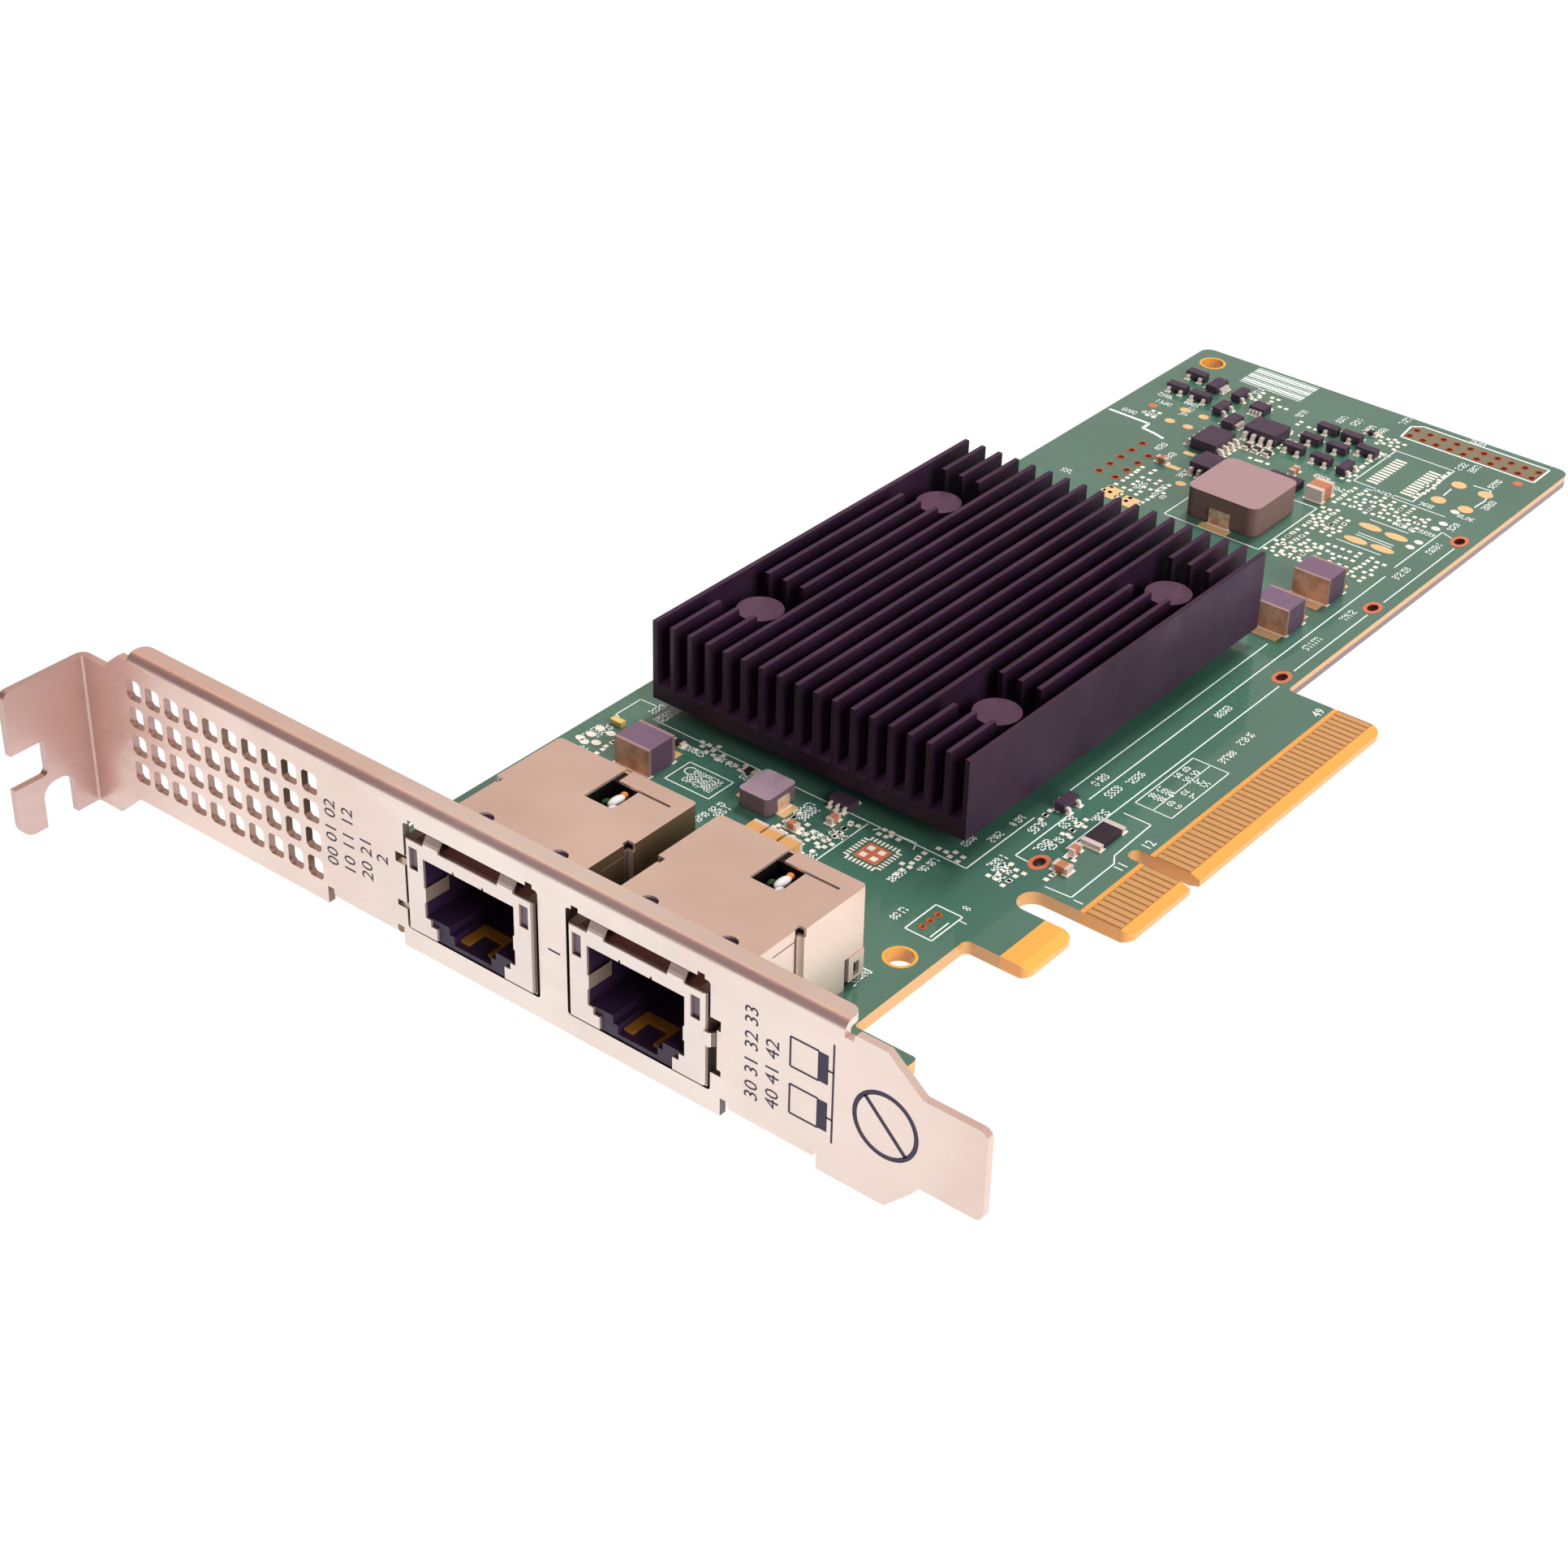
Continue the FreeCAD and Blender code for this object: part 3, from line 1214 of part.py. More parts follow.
def regulator_chips():
    return group([turned(block(0, 0, SO8_LONG, SO8_WIDE, SO8_LOW_Z, SO8_TALL), x, y, degrees)
                  for x, y, degrees in SO8_SPOTS])


def regulator_chip_leads():
    leads = []
    shoulder = (SO8_LOW_Z + SO8_TALL) / 2
    for x, y, degrees in SO8_SPOTS:
        for side in (0, 180):
            for lead in leads_along(4, SO8_LEAD_PITCH, SO8_REACH, SO8_LEAD_WIDE,
                                    SO8_LEAD_THICK, SO8_WIDE, shoulder, side):
                leads.append(turned(lead, x, y, degrees))
    return group(leads)


def logic_chips():
    return group([turned(block(0, 0, long, wide, SMALL_LOW_Z, LOGIC_TALL), x, y, degrees)
                  for x, y, long, wide, degrees in LOGIC_SPOTS])


def logic_chip_leads():
    leads = []
    shoulder = (SMALL_LOW_Z + LOGIC_TALL) / 2
    for count, (x, y, long, wide, degrees) in zip(LOGIC_LEAD_COUNTS, LOGIC_SPOTS):
        pitch = LOGIC_LEAD_PITCH if count == 4 else SOT_PAIR_PITCH / 2
        for side in (0, 180):
            for lead in leads_along(count, pitch, LOGIC_REACH, LOGIC_LEAD_WIDE,
                                    LOGIC_LEAD_THICK, wide, shoulder, side):
                leads.append(turned(lead, x, y, degrees))
    return group(leads)


def transistors():
    return group([turned(block(0, 0, SOT_LONG, SOT_WIDE, SMALL_LOW_Z, SOT_TALL), x, y, degrees)
                  for x, y, degrees in SOT_SPOTS])


def transistor_leads():
    leads = []
    shoulder = (SMALL_LOW_Z + SOT_TALL) / 2
    for x, y, degrees in SOT_SPOTS:
        pair = leads_along(2, SOT_PAIR_PITCH, SOT_REACH, SOT_LEAD_WIDE,
                           SOT_LEAD_THICK, SOT_WIDE, shoulder, 0)
        single = leads_along(1, 0, SOT_REACH, SOT_LEAD_WIDE,
                             SOT_LEAD_THICK, SOT_WIDE, shoulder, 180)
        for lead in pair + single:
            leads.append(turned(lead, x, y, degrees))
    return group(leads)


def power_switch():
    return box(SWITCH_X, SWITCH_Y, (0, SWITCH_TALL))


def status_light():
    x, y = STATUS_LIGHT
    return block(x, y, STATUS_LIGHT_SIZE[0], STATUS_LIGHT_SIZE[1], 0, STATUS_LIGHT_SIZE[2])


# ================================================================ build
save(circuit_board(), "circuit_board")
save(edge_contacts(), "edge_contacts")
save(bracket(), "bracket")
save(bracket_screws(), "bracket_screws")

for port in PORT_XS:
    name = "port_" + str(port) + "_"
    save(port_shield(port), name + "shield")
    save(port_housing(port), name + "housing")
    save(port_lights(port), name + "lights")
    save(port_contacts(port), name + "contacts")
    save(port_insert(port), name + "insert")
    save(port_magnetics(port), name + "magnetics")

save(heatsink(), "heatsink")
save(heatsink_pins(), "heatsink_pins")
save(heatsink_springs(), "heatsink_springs")
save(controller_chip(), "controller_chip")
save(thermal_pad(), "thermal_pad")

save(power_inductor(), "power_inductor")
save(side_terminals(POWER_INDUCTOR_X, POWER_INDUCTOR_Y, POWER_TERMINAL_WIDE,
                    POWER_TERMINAL_TALL, "y"), "power_inductor_terminals")
save(filter_inductor(), "filter_inductor")
save(side_terminals(FILTER_INDUCTOR_X, FILTER_INDUCTOR_Y, FILTER_TERMINAL_WIDE,
                    FILTER_TERMINAL_TALL, "x"), "filter_inductor_terminals")
save(ferrite_blocks(), "ferrite_blocks")
save(ferrite_block_ends(), "ferrite_block_ends")

big_caps = [ended_chip(x, BIG_CAP_Y, BIG_CAP_LONG, BIG_CAP_WIDE, BIG_CAP_TALL, "y", BIG_CAP_END)
            for x in BIG_CAP_XS]
save(group([body for body, ends in big_caps]), "ceramic_capacitors")
save(group([cap for body, ends in big_caps for cap in ends]), "ceramic_capacitor_ends")

sense_body, sense_ends = ended_chip(SENSE_MID[0], SENSE_MID[1], SENSE_LONG, SENSE_WIDE,
                                    SENSE_TALL, "y", SENSE_END)
save(sense_body, "sense_resistor")
save(group(sense_ends), "sense_resistor_ends")

save(regulator_chips(), "regulator_chips")
save(regulator_chip_leads(), "regulator_chip_leads")
save(logic_chips(), "logic_chips")
save(logic_chip_leads(), "logic_chip_leads")
save(transistors(), "transistors")
save(transistor_leads(), "transistor_leads")
save(power_switch(), "power_switch")

capacitor_bodies, capacitor_ends = ended_chips(CHIP_CAP_SPOTS)
save(capacitor_bodies, "chip_capacitors")
save(capacitor_ends, "chip_capacitor_ends")
resistor_bodies, resistor_ends = ended_chips(CHIP_RESISTOR_SPOTS)
save(resistor_bodies, "chip_resistors")
save(resistor_ends, "chip_resistor_ends")
save(status_light(), "status_light")
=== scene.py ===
import math
import random

import bmesh
import bpy
from mathutils import Matrix, Vector


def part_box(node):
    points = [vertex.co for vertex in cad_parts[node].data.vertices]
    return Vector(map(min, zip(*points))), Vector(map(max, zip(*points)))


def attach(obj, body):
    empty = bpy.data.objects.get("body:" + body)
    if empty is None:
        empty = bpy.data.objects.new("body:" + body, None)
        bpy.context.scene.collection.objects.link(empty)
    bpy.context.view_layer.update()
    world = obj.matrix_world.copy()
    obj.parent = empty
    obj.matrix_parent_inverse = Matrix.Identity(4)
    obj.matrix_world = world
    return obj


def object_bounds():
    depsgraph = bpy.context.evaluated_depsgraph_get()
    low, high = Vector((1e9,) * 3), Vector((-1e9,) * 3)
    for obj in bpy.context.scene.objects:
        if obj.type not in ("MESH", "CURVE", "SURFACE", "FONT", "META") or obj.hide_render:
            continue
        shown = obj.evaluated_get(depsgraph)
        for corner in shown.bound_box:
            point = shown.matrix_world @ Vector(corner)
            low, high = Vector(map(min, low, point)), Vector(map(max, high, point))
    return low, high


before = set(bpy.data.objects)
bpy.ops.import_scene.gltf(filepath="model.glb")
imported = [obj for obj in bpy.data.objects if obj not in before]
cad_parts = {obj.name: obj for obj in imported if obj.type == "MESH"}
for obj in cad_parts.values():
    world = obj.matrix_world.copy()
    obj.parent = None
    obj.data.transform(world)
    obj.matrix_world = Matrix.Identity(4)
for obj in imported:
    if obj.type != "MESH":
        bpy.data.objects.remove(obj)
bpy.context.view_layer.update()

MM = 0.001
random.seed(7)


# ------------------------------------------------------------------ colours
def srgb(red, green, blue):
    """Colour written as screen values 0 to 255, turned to linear light."""
    def channel(value):
        value /= 255
        return value / 12.92 if value <= 0.04045 else ((value + 0.055) / 1.055) ** 2.4
    return (channel(red), channel(green), channel(blue), 1.0)


MASK = srgb(61, 99, 83)
MASK_CLOUD = srgb(68, 107, 92)
MASK_LIGHT = srgb(62, 122, 98)
MASK_EDGE = srgb(206, 152, 84)
EDGE_UNDER_SHADE = srgb(104, 74, 78)
HOLE_GOLD = srgb(226, 152, 50)
SLOT_COPPER_SHADE = srgb(92, 26, 18)
LAMINATE = srgb(220, 150, 64)
CONTACT_GAP = srgb(156, 98, 46)
FOOT_GOLD = srgb(238, 160, 66)
CONTACT_GOLD = srgb(240, 190, 128)
PRINT_WHITE = srgb(226, 232, 226)
PAD_TIN = srgb(252, 242, 226)
PAD_GOLD = srgb(236, 196, 140)
COPPER = srgb(206, 116, 84)
RING_GOLD = srgb(236, 178, 76)
WARM_WHITE = srgb(255, 250, 246)
NICKEL = srgb(236, 208, 192)
NICKEL_DARK = srgb(222, 192, 176)
# painted shade on the shells' walls inside the bracket's windows
GAP_SHADE_PAINTED = srgb(58, 34, 36)
BLACK = (0.0, 0.0, 0.0, 1.0)
GREY = (0.5, 0.5, 0.5, 1.0)
WHITE = (1.0, 1.0, 1.0, 1.0)

# ------------------------------------------------------------------ places, in millimetres
BOARD_UNDER_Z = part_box("circuit_board")[0].z / MM
BOARD_LIFT = 0.002                  # marks start this far off the board's face
NEAR_BOARD = 0.12                   # a solid that comes this close stands on the board
SOLDER_SPREAD = 0.36                # added to a foot's length and width
# the holes, slots and ferrite blocks stand where the CAD has them
MOUNT_HOLES = [(-15.60, -30.40), (-65.50, 106.70)]
HOLE_REACH = 1.6                    # half side of the square round a hole's wall
HOLE_RING = (1.51, 1.86)
SLOT_X = -14.45
SLOT_YS = [-7.80, 41.10, 62.20, 84.00]
SLOT_RING = (0.64, 1.10)
SQUARE_CHIP = (-28.7, -18.0)        # middle of the square package that is not fitted
FERRITE_SPOTS = [(-21.40, 51.40), (-21.45, 61.00), (-58.35, -20.40)]
BRACKET_FACE_Y = -58.013
LEAF_TOP_Z = 11.0
# where the painted shade behind the top leaves lies
LEAF_SHADE_Y = -56.85

# areas of the board: low and high x, low and high y
FAR = 1000.0                        # past every edge
TONGUE = (-6.3, FAR, -12.6, 39.6)
CONTACT_ROWS = (-5.7, -1.25, -12.6, 39.6)
FOOT = (-8.06, FAR, -24.0, -15.5)
SLOT_WALLS = (-16.6, -12.7, -12.6, FAR)

# stretches along an axis, for the painted light and shade on faces
SHELL_FRONT = ("Y", -58.3, -55.5)   # shell walls seen through the bracket's windows
BRACKET_SHEET = ("Y", -58.2, -57)
BRACKET_INSIDE = ("Z", -20, 12.6)   # leaves out the bracket's top edge
VENTS = ("X", -100, -58)
WINDOWS = ("X", -54, -8)


# ------------------------------------------------------------------ materials
def new_material(name, colour, metallic=0.0, roughness=0.5, coat=0.0):
    material = bpy.data.materials.new(name)
    material.use_nodes = True
    shader = material.node_tree.nodes["Principled BSDF"]
    shader.inputs["Base Color"].default_value = colour
    shader.inputs["Metallic"].default_value = metallic
    shader.inputs["Roughness"].default_value = roughness
    shader.inputs["Coat Weight"].default_value = coat
    shader.inputs["Coat Roughness"].default_value = 0.15
    return material


def node(material, kind, **settings):
    """New node in the tree of a material or a world."""
    made = material.node_tree.nodes.new(kind)
    for key, value in settings.items():
        setattr(made, key, value)
    return made


def link(material, source, target):
    material.node_tree.links.new(source, target)


def shader_of(material):
    return material.node_tree.nodes["Principled BSDF"]


def object_noise(material, scale, detail=3.0, stretch=(1, 1, 1)):
    """Noise in the part's own coordinates; scale counts cells a metre."""
    place = node(material, "ShaderNodeTexCoord")
    mapping = node(material, "ShaderNodeMapping")
    mapping.inputs["Scale"].default_value = stretch
    noise = node(material, "ShaderNodeTexNoise")
    noise.inputs["Scale"].default_value = scale
    noise.inputs["Detail"].default_value = detail
    link(material, place.outputs["Object"], mapping.inputs["Vector"])
    link(material, mapping.outputs["Vector"], noise.inputs["Vector"])
    return noise.outputs["Fac"]


def ramp(material, source, stops):
    """Colour ramp over a value: stops are (position, colour)."""
    made = node(material, "ShaderNodeValToRGB")
    while len(made.color_ramp.elements) < len(stops):
        made.color_ramp.elements.new(0.5)
    for element, (position, colour) in zip(made.color_ramp.elements, stops):
        element.position = position
        element.color = colour
    link(material, source, made.inputs["Fac"])
    return made.outputs["Color"]


def vary_colour(material, scale, dark, light, high=0.65):
    noise = object_noise(material, scale)
    mixed = ramp(material, noise, [(0.35, dark), (high, light)])
    link(material, mixed, shader_of(material).inputs["Base Color"])


def vary_roughness(material, scale, low, high, stretch=(1, 1, 1)):
    noise = object_noise(material, scale, stretch=stretch)
    grey = ramp(material, noise, [(0.3, (low,) * 3 + (1,)), (0.7, (high,) * 3 + (1,))])
    link(material, grey, shader_of(material).inputs["Roughness"])


def add_bump(material, scale, height, strength=0.3, stretch=(1, 1, 1)):
    bump = node(material, "ShaderNodeBump")
    bump.inputs["Strength"].default_value = strength
    bump.inputs["Distance"].default_value = height
    link(material, object_noise(material, scale, 4.0, stretch), bump.inputs["Height"])
    link(material, bump.outputs["Normal"], shader_of(material).inputs["Normal"])


def band(material, axis_output, low, high):
    """1 between two places along an axis (metres), otherwise 0."""
    above = node(material, "ShaderNodeMath", operation="GREATER_THAN")
    above.inputs[1].default_value = low
    below = node(material, "ShaderNodeMath", operation="LESS_THAN")
    below.inputs[1].default_value = high
    both = node(material, "ShaderNodeMath", operation="MULTIPLY")
    link(material, axis_output, above.inputs[0])
    link(material, axis_output, below.inputs[0])
    link(material, above.outputs[0], both.inputs[0])
    link(material, below.outputs[0], both.inputs[1])
    return both.outputs[0]


def combine(material, operation, first, second):
    made = node(material, "ShaderNodeMath", operation=operation)
    link(material, first, made.inputs[0])
    link(material, second, made.inputs[1])
    return made.outputs[0]


def mix_colour(material, factor, first, second):
    """Colour mix; each side is a colour or a node output."""
    made = node(material, "ShaderNodeMix", data_type="RGBA")
    link(material, factor, made.inputs["Factor"])
    for socket, value in ((made.inputs[6], first), (made.inputs[7], second)):
        if isinstance(value, tuple):
            socket.default_value = value
        else:
            link(material, value, socket)
    return made.outputs[2]


FACING = (0.40, 0.80)
EDGE_LEAN = 0.1                     # Z of a normal, under which a face is an edge


def paint_light_and_shade_by_facing(material, tones, share=0.85):
    """Painted light and shade on the faces that look along an axis.

    Each tone is axis, sign and colour, then any number of stretches, each an axis, low
    and high in millimetres, that the tone keeps to. It starts where the face's normal
    has FACING[0] along the axis, and reaches its whole share at FACING[1]."""
    base = shader_of(material).inputs["Base Color"]
    current = base.links[0].from_socket if base.is_linked else tuple(base.default_value)
    geometry = node(material, "ShaderNodeNewGeometry")
    split = node(material, "ShaderNodeSeparateXYZ")
    link(material, geometry.outputs["Normal"], split.inputs["Vector"])
    place = node(material, "ShaderNodeTexCoord")
    spot = node(material, "ShaderNodeSeparateXYZ")
    link(material, place.outputs["Object"], spot.inputs["Vector"])
    for axis, sign, colour, *within in tones:
        facing = node(material, "ShaderNodeMapRange")
        facing.inputs["From Min"].default_value = FACING[0] * sign
        facing.inputs["From Max"].default_value = FACING[1] * sign
        facing.inputs["To Max"].default_value = share
        link(material, split.outputs[axis], facing.inputs["Value"])
        factor = facing.outputs[0]
        for where, low, high in zip(within[0::3], within[1::3], within[2::3]):
            factor = combine(material, "MULTIPLY", factor,
                             band(material, spot.outputs[where], low * MM, high * MM))
        current = mix_colour(material, factor, current, colour)
    link(material, current, base)


def board_material():
    """Green solder mask with faint tracks, bare laminate on edges and tongue, gold foot."""
    material = new_material("board", MASK, roughness=0.30, coat=0.80)
    shader_of(material).inputs["Coat Roughness"].default_value = 0.08
    place = node(material, "ShaderNodeTexCoord")
    split = node(material, "ShaderNodeSeparateXYZ")
    link(material, place.outputs["Object"], split.inputs["Vector"])
    along_x, along_y, along_z = (split.outputs[axis] for axis in "XYZ")

    def area(x_low, x_high, y_low, y_high):
        """1 inside a rectangle of the board, in millimetres, otherwise 0."""
        return combine(material, "MULTIPLY", band(material, along_x, x_low * MM, x_high * MM),
                       band(material, along_y, y_low * MM, y_high * MM))

    clouds = object_noise(material, 45, 2.0)
    mask = ramp(material, clouds, [(0.35, MASK), (0.70, MASK_CLOUD)])
    tracks = node(material, "ShaderNodeTexBrick", offset=0.37)
    tracks.inputs["Scale"].default_value = 260
    tracks.inputs["Mortar Size"].default_value = 0.035
    tracks.inputs["Color1"].default_value = BLACK
    tracks.inputs["Color2"].default_value = BLACK
    tracks.inputs["Mortar"].default_value = WHITE
    link(material, place.outputs["Object"], tracks.inputs["Vector"])
    patches = ramp(material, object_noise(material, 70), [(0.50, BLACK), (0.62, GREY)])
    track_share = combine(material, "MULTIPLY", tracks.outputs["Color"], patches)
    mask = mix_colour(material, track_share, mask, MASK_LIGHT)

    tongue = area(*TONGUE)
    foot = area(*FOOT)
    top = mix_colour(material, tongue, mask, LAMINATE)
    top = mix_colour(material, area(*CONTACT_ROWS), top, CONTACT_GAP)
    top = mix_colour(material, foot, top, FOOT_GOLD)

    geometry = node(material, "ShaderNodeNewGeometry")
    facing = node(material, "ShaderNodeSeparateXYZ")
    link(material, geometry.outputs["Normal"], facing.inputs["Vector"])
    upright = node(material, "ShaderNodeMath", operation="ABSOLUTE")
    link(material, facing.outputs["Z"], upright.inputs[0])
    side = node(material, "ShaderNodeMath", operation="LESS_THAN")
    side.inputs[1].default_value = EDGE_LEAN
    link(material, upright.outputs[0], side.inputs[0])
    # painted shade: the lower part of the edges beyond the tongue is darker
    under = combine(material, "MULTIPLY", band(material, along_z, -FAR * MM, -0.75 * MM),
                    band(material, along_y, 40 * MM, FAR * MM))
    edge = mix_colour(material, under, MASK_EDGE, EDGE_UNDER_SHADE)
    # painted shade: the walls inside the slots are copper darkened to deep red
    edge = mix_colour(material, area(*SLOT_WALLS), edge, SLOT_COPPER_SHADE)
    for x, y in MOUNT_HOLES:
        hole = area(x - HOLE_REACH, x + HOLE_REACH, y - HOLE_REACH, y + HOLE_REACH)
        edge = mix_colour(material, hole, edge, HOLE_GOLD)
    edge = mix_colour(material, tongue, edge, LAMINATE)
    edge = mix_colour(material, foot, edge, FOOT_GOLD)
    finished = mix_colour(material, side.outputs[0], top, edge)
    link(material, finished, shader_of(material).inputs["Base Color"])
    add_bump(material, 900, 0.00002, 0.15)
    return material


def sheet_metal(name, colour, dark, roughness, along=None, metallic=0.85):
    """Plated sheet; along gives a painted shade, multiplied into the tone, at places along X, in
    millimetres.
    """
    material = new_material(name, colour, metallic=metallic, roughness=roughness)
    noise = object_noise(material, 60, stretch=(1, 1, 0.6))
    tone = ramp(material, noise, [(0.30, dark), (0.60, colour)])
    if along:
        place = node(material, "ShaderNodeTexCoord")
        split = node(material, "ShaderNodeSeparateXYZ")
        spread = node(material, "ShaderNodeMapRange")
        spread.inputs["From Min"].default_value = along[0][0] * MM
        spread.inputs["From Max"].default_value = along[-1][0] * MM
        link(material, place.outputs["Object"], split.inputs["Vector"])
        link(material, split.outputs["X"], spread.inputs["Value"])
        length = along[-1][0] - along[0][0]
        shade = ramp(material, spread.outputs[0],
                     [((x - along[0][0]) / length, there) for x, there in along])
        blend = node(material, "ShaderNodeMix", data_type="RGBA", blend_type="MULTIPLY")
        blend.inputs["Factor"].default_value = 1.0
        link(material, tone, blend.inputs[6])
        link(material, shade, blend.inputs[7])
        tone = blend.outputs[2]
    link(material, tone, shader_of(material).inputs["Base Color"])
    vary_roughness(material, 140, roughness - 0.06, roughness + 0.10, (1, 1, 4))
    add_bump(material, 2500, 0.00001, 0.12, (0.2, 1, 2))
    return material


def moulded(name, colour, roughness):
    material = new_material(name, colour, roughness=roughness)
    vary_roughness(material, 900, roughness - 0.08, roughness + 0.10)
    add_bump(material, 6000, 0.00001, 0.25)
    return material


def anodised(name, dark, light, roughness):
    material = new_material(name, dark, metallic=0.55, roughness=roughness)
    vary_colour(material, 120, dark, light, 0.70)
    vary_roughness(material, 300, roughness - 0.06, roughness + 0.08)
    add_bump(material, 4000, 0.00001, 0.2)
    return material


def shell_material(name, number, side):
    """Shell of a socket, with painted light on the faces that look along -Y, and a painted tone,
    given as side, on the side that looks along +X: painted light on the near shell, painted shade
    on the far one.

    The outer walls have painted shade in front, where the bracket's window shades them."""
    metal = sheet_metal(name, NICKEL, NICKEL_DARK, 0.38, metallic=0.70)
    low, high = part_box("port_" + number + "_housing")
    left = ("X", low.x / MM - 2, low.x / MM + 0.5)
    right = ("X", high.x / MM - 0.5, high.x / MM + 2)
    # painted light on the front faces, painted shade on the walls inside the windows
    paint_light_and_shade_by_facing(metal, [("Y", -1, srgb(255, 242, 234)), ("X", 1, side, *right),
                       ("X", 1, GAP_SHADE_PAINTED, *SHELL_FRONT, *right),
                       ("X", -1, GAP_SHADE_PAINTED, *SHELL_FRONT, *left),
                       ("Z", 1, GAP_SHADE_PAINTED, *SHELL_FRONT),
                       ("Z", -1, GAP_SHADE_PAINTED, *SHELL_FRONT)], 0.92)
    return metal


def bracket_material():
    """Nickel with painted shade: it darkens towards the far end, and the walls inside vents and
    windows are painted dark.
    """
    metal = sheet_metal("bracket_nickel", srgb(255, 246, 240), srgb(246, 232, 225), 0.30, [
        (-106, srgb(210, 186, 186)), (-102, srgb(240, 219, 214)), (-86, srgb(252, 236, 230)),
        (-56, WARM_WHITE), (-24, WARM_WHITE), (15, srgb(246, 230, 224))])
    # painted shade inside the openings: the vents darken towards the windows, from the left end to
    # the right
    paint_light_and_shade_by_facing(metal, [("X", 1, srgb(186, 148, 140), "X", -100, -86),
                       ("X", 1, srgb(156, 122, 108), "X", -86, -76),
                       ("X", 1, srgb(116, 88, 70), "X", -76, -58),
                       ("X", 1, srgb(60, 36, 38), *WINDOWS),
                       ("Z", 1, srgb(176, 142, 132), *VENTS, *BRACKET_INSIDE),
                       ("Z", 1, srgb(64, 40, 42), *WINDOWS, *BRACKET_INSIDE, *BRACKET_SHEET)])
    return metal


def metal_nodes(gold):
    """Finishes of the bracket, its screws, the heatsink and its fixings, by node."""
    sink = anodised("heatsink_anodised", srgb(64, 40, 66), srgb(78, 52, 78), 0.40)
    # painted shade on the faces that look along -Y
    paint_light_and_shade_by_facing(sink, [("Y", -1, srgb(44, 26, 42))])
    return {
        "bracket": bracket_material(),
        "bracket_screws": sheet_metal("screw_zinc", srgb(214, 206, 200), srgb(190, 182, 176), 0.34),
        "edge_contacts": gold,
        "heatsink": sink,
        "heatsink_pins": anodised("pin_dark", srgb(92, 64, 88), srgb(108, 78, 102), 0.38),
        "heatsink_springs": new_material("spring_wire", srgb(190, 184, 180), metallic=0.9,
                                         roughness=0.3),
    }


def inductor_nodes():
    """Finishes of the pressed inductors and of the ferrite blocks, by node, with painted shade on
    some of their sides.
    """
    powder = moulded("inductor_powder", srgb(158, 128, 128), 0.6)
    # painted shade on the faces that look along -Y and +X
    paint_light_and_shade_by_facing(powder, [("Y", -1, srgb(104, 78, 72)), ("X", 1, srgb(112, 86, 80))])
    grey_powder = moulded("inductor_grey", srgb(150, 126, 138), 0.6)
    # painted shade on the faces that look along -Y and +X
    paint_light_and_shade_by_facing(grey_powder, [("Y", -1, srgb(104, 84, 84)), ("X", 1, srgb(84, 68, 72))])
    ferrite = moulded("ferrite", srgb(112, 88, 108), 0.5)
    # painted shade on the faces that look along +X
    paint_light_and_shade_by_facing(ferrite, [("X", 1, srgb(76, 56, 76))])
    ferrite_end = new_material("ferrite_end", srgb(214, 160, 130), metallic=0.35, roughness=0.45)
    vary_colour(ferrite_end, 500, srgb(186, 134, 106), srgb(226, 176, 150))
    # painted shade on the tops and on the faces that look along +X
    paint_light_and_shade_by_facing(ferrite_end, [("Z", 1, srgb(166, 136, 140)), ("X", 1, srgb(140, 112, 104))])
    return {"power_inductor": powder, "filter_inductor": grey_powder,
            "ferrite_blocks": ferrite, "ferrite_block_ends": ferrite_end}


def small_part_nodes():
    """Finishes of the small parts on the board, by node."""
    resistor = moulded("resistor_black", srgb(44, 36, 44), 0.35)
    return {
        "thermal_pad": moulded("thermal_pad", srgb(150, 150, 150), 0.8),
        "ceramic_capacitors": new_material("capacitor_gold", srgb(226, 170, 104), metallic=0.3,
                                           roughness=0.4),
        "chip_capacitors": moulded("capacitor_tan", srgb(180, 114, 84), 0.45),
        "sense_resistor": resistor,
        "chip_resistors": resistor,
        "status_light": new_material("lens", srgb(226, 190, 110), roughness=0.2, coat=0.6),
    }


def socket_nodes(gold):
    """Finishes of the pieces of both sockets, by node."""
    # the near shell's +X side gets painted light, the far shell's gets painted shade
    shells = {"1": shell_material("shield_nickel", "1", srgb(250, 228, 214)),
              "2": shell_material("shield_nickel_far_shaded", "2", srgb(124, 96, 68))}
    inside = {
        "housing": moulded("socket_plastic", srgb(52, 34, 62), 0.45),
        "lights": new_material("light_pipe", srgb(96, 70, 96), roughness=0.15, coat=0.6),
        "contacts": gold,
        "insert": new_material("amber", srgb(172, 114, 42), roughness=0.35, coat=0.2),
        "magnetics": moulded("potting", srgb(14, 10, 14), 0.6),
    }
    named = {}
    for number, shell in shells.items():
        named["port_" + number + "_shield"] = shell
        for piece, finish in inside.items():
            named["port_" + number + "_" + piece] = finish
    return named


def ending_finishes():
    """Finishes of leads, cap ends and terminals, by the ending of the node's name."""
    lead = new_material("tin", srgb(252, 240, 226), metallic=0.40, roughness=0.32)
    add_bump(lead, 3000, 0.00002, 0.3)
    terminal = new_material("terminal_tin", srgb(226, 192, 158), metallic=0.45, roughness=0.30)
    vary_colour(terminal, 900, srgb(190, 150, 118), srgb(240, 214, 186))
    end = new_material("end_tin", srgb(226, 206, 194), metallic=0.35, roughness=0.35)
    return {"_leads": lead, "_terminals": terminal, "_ends": end}


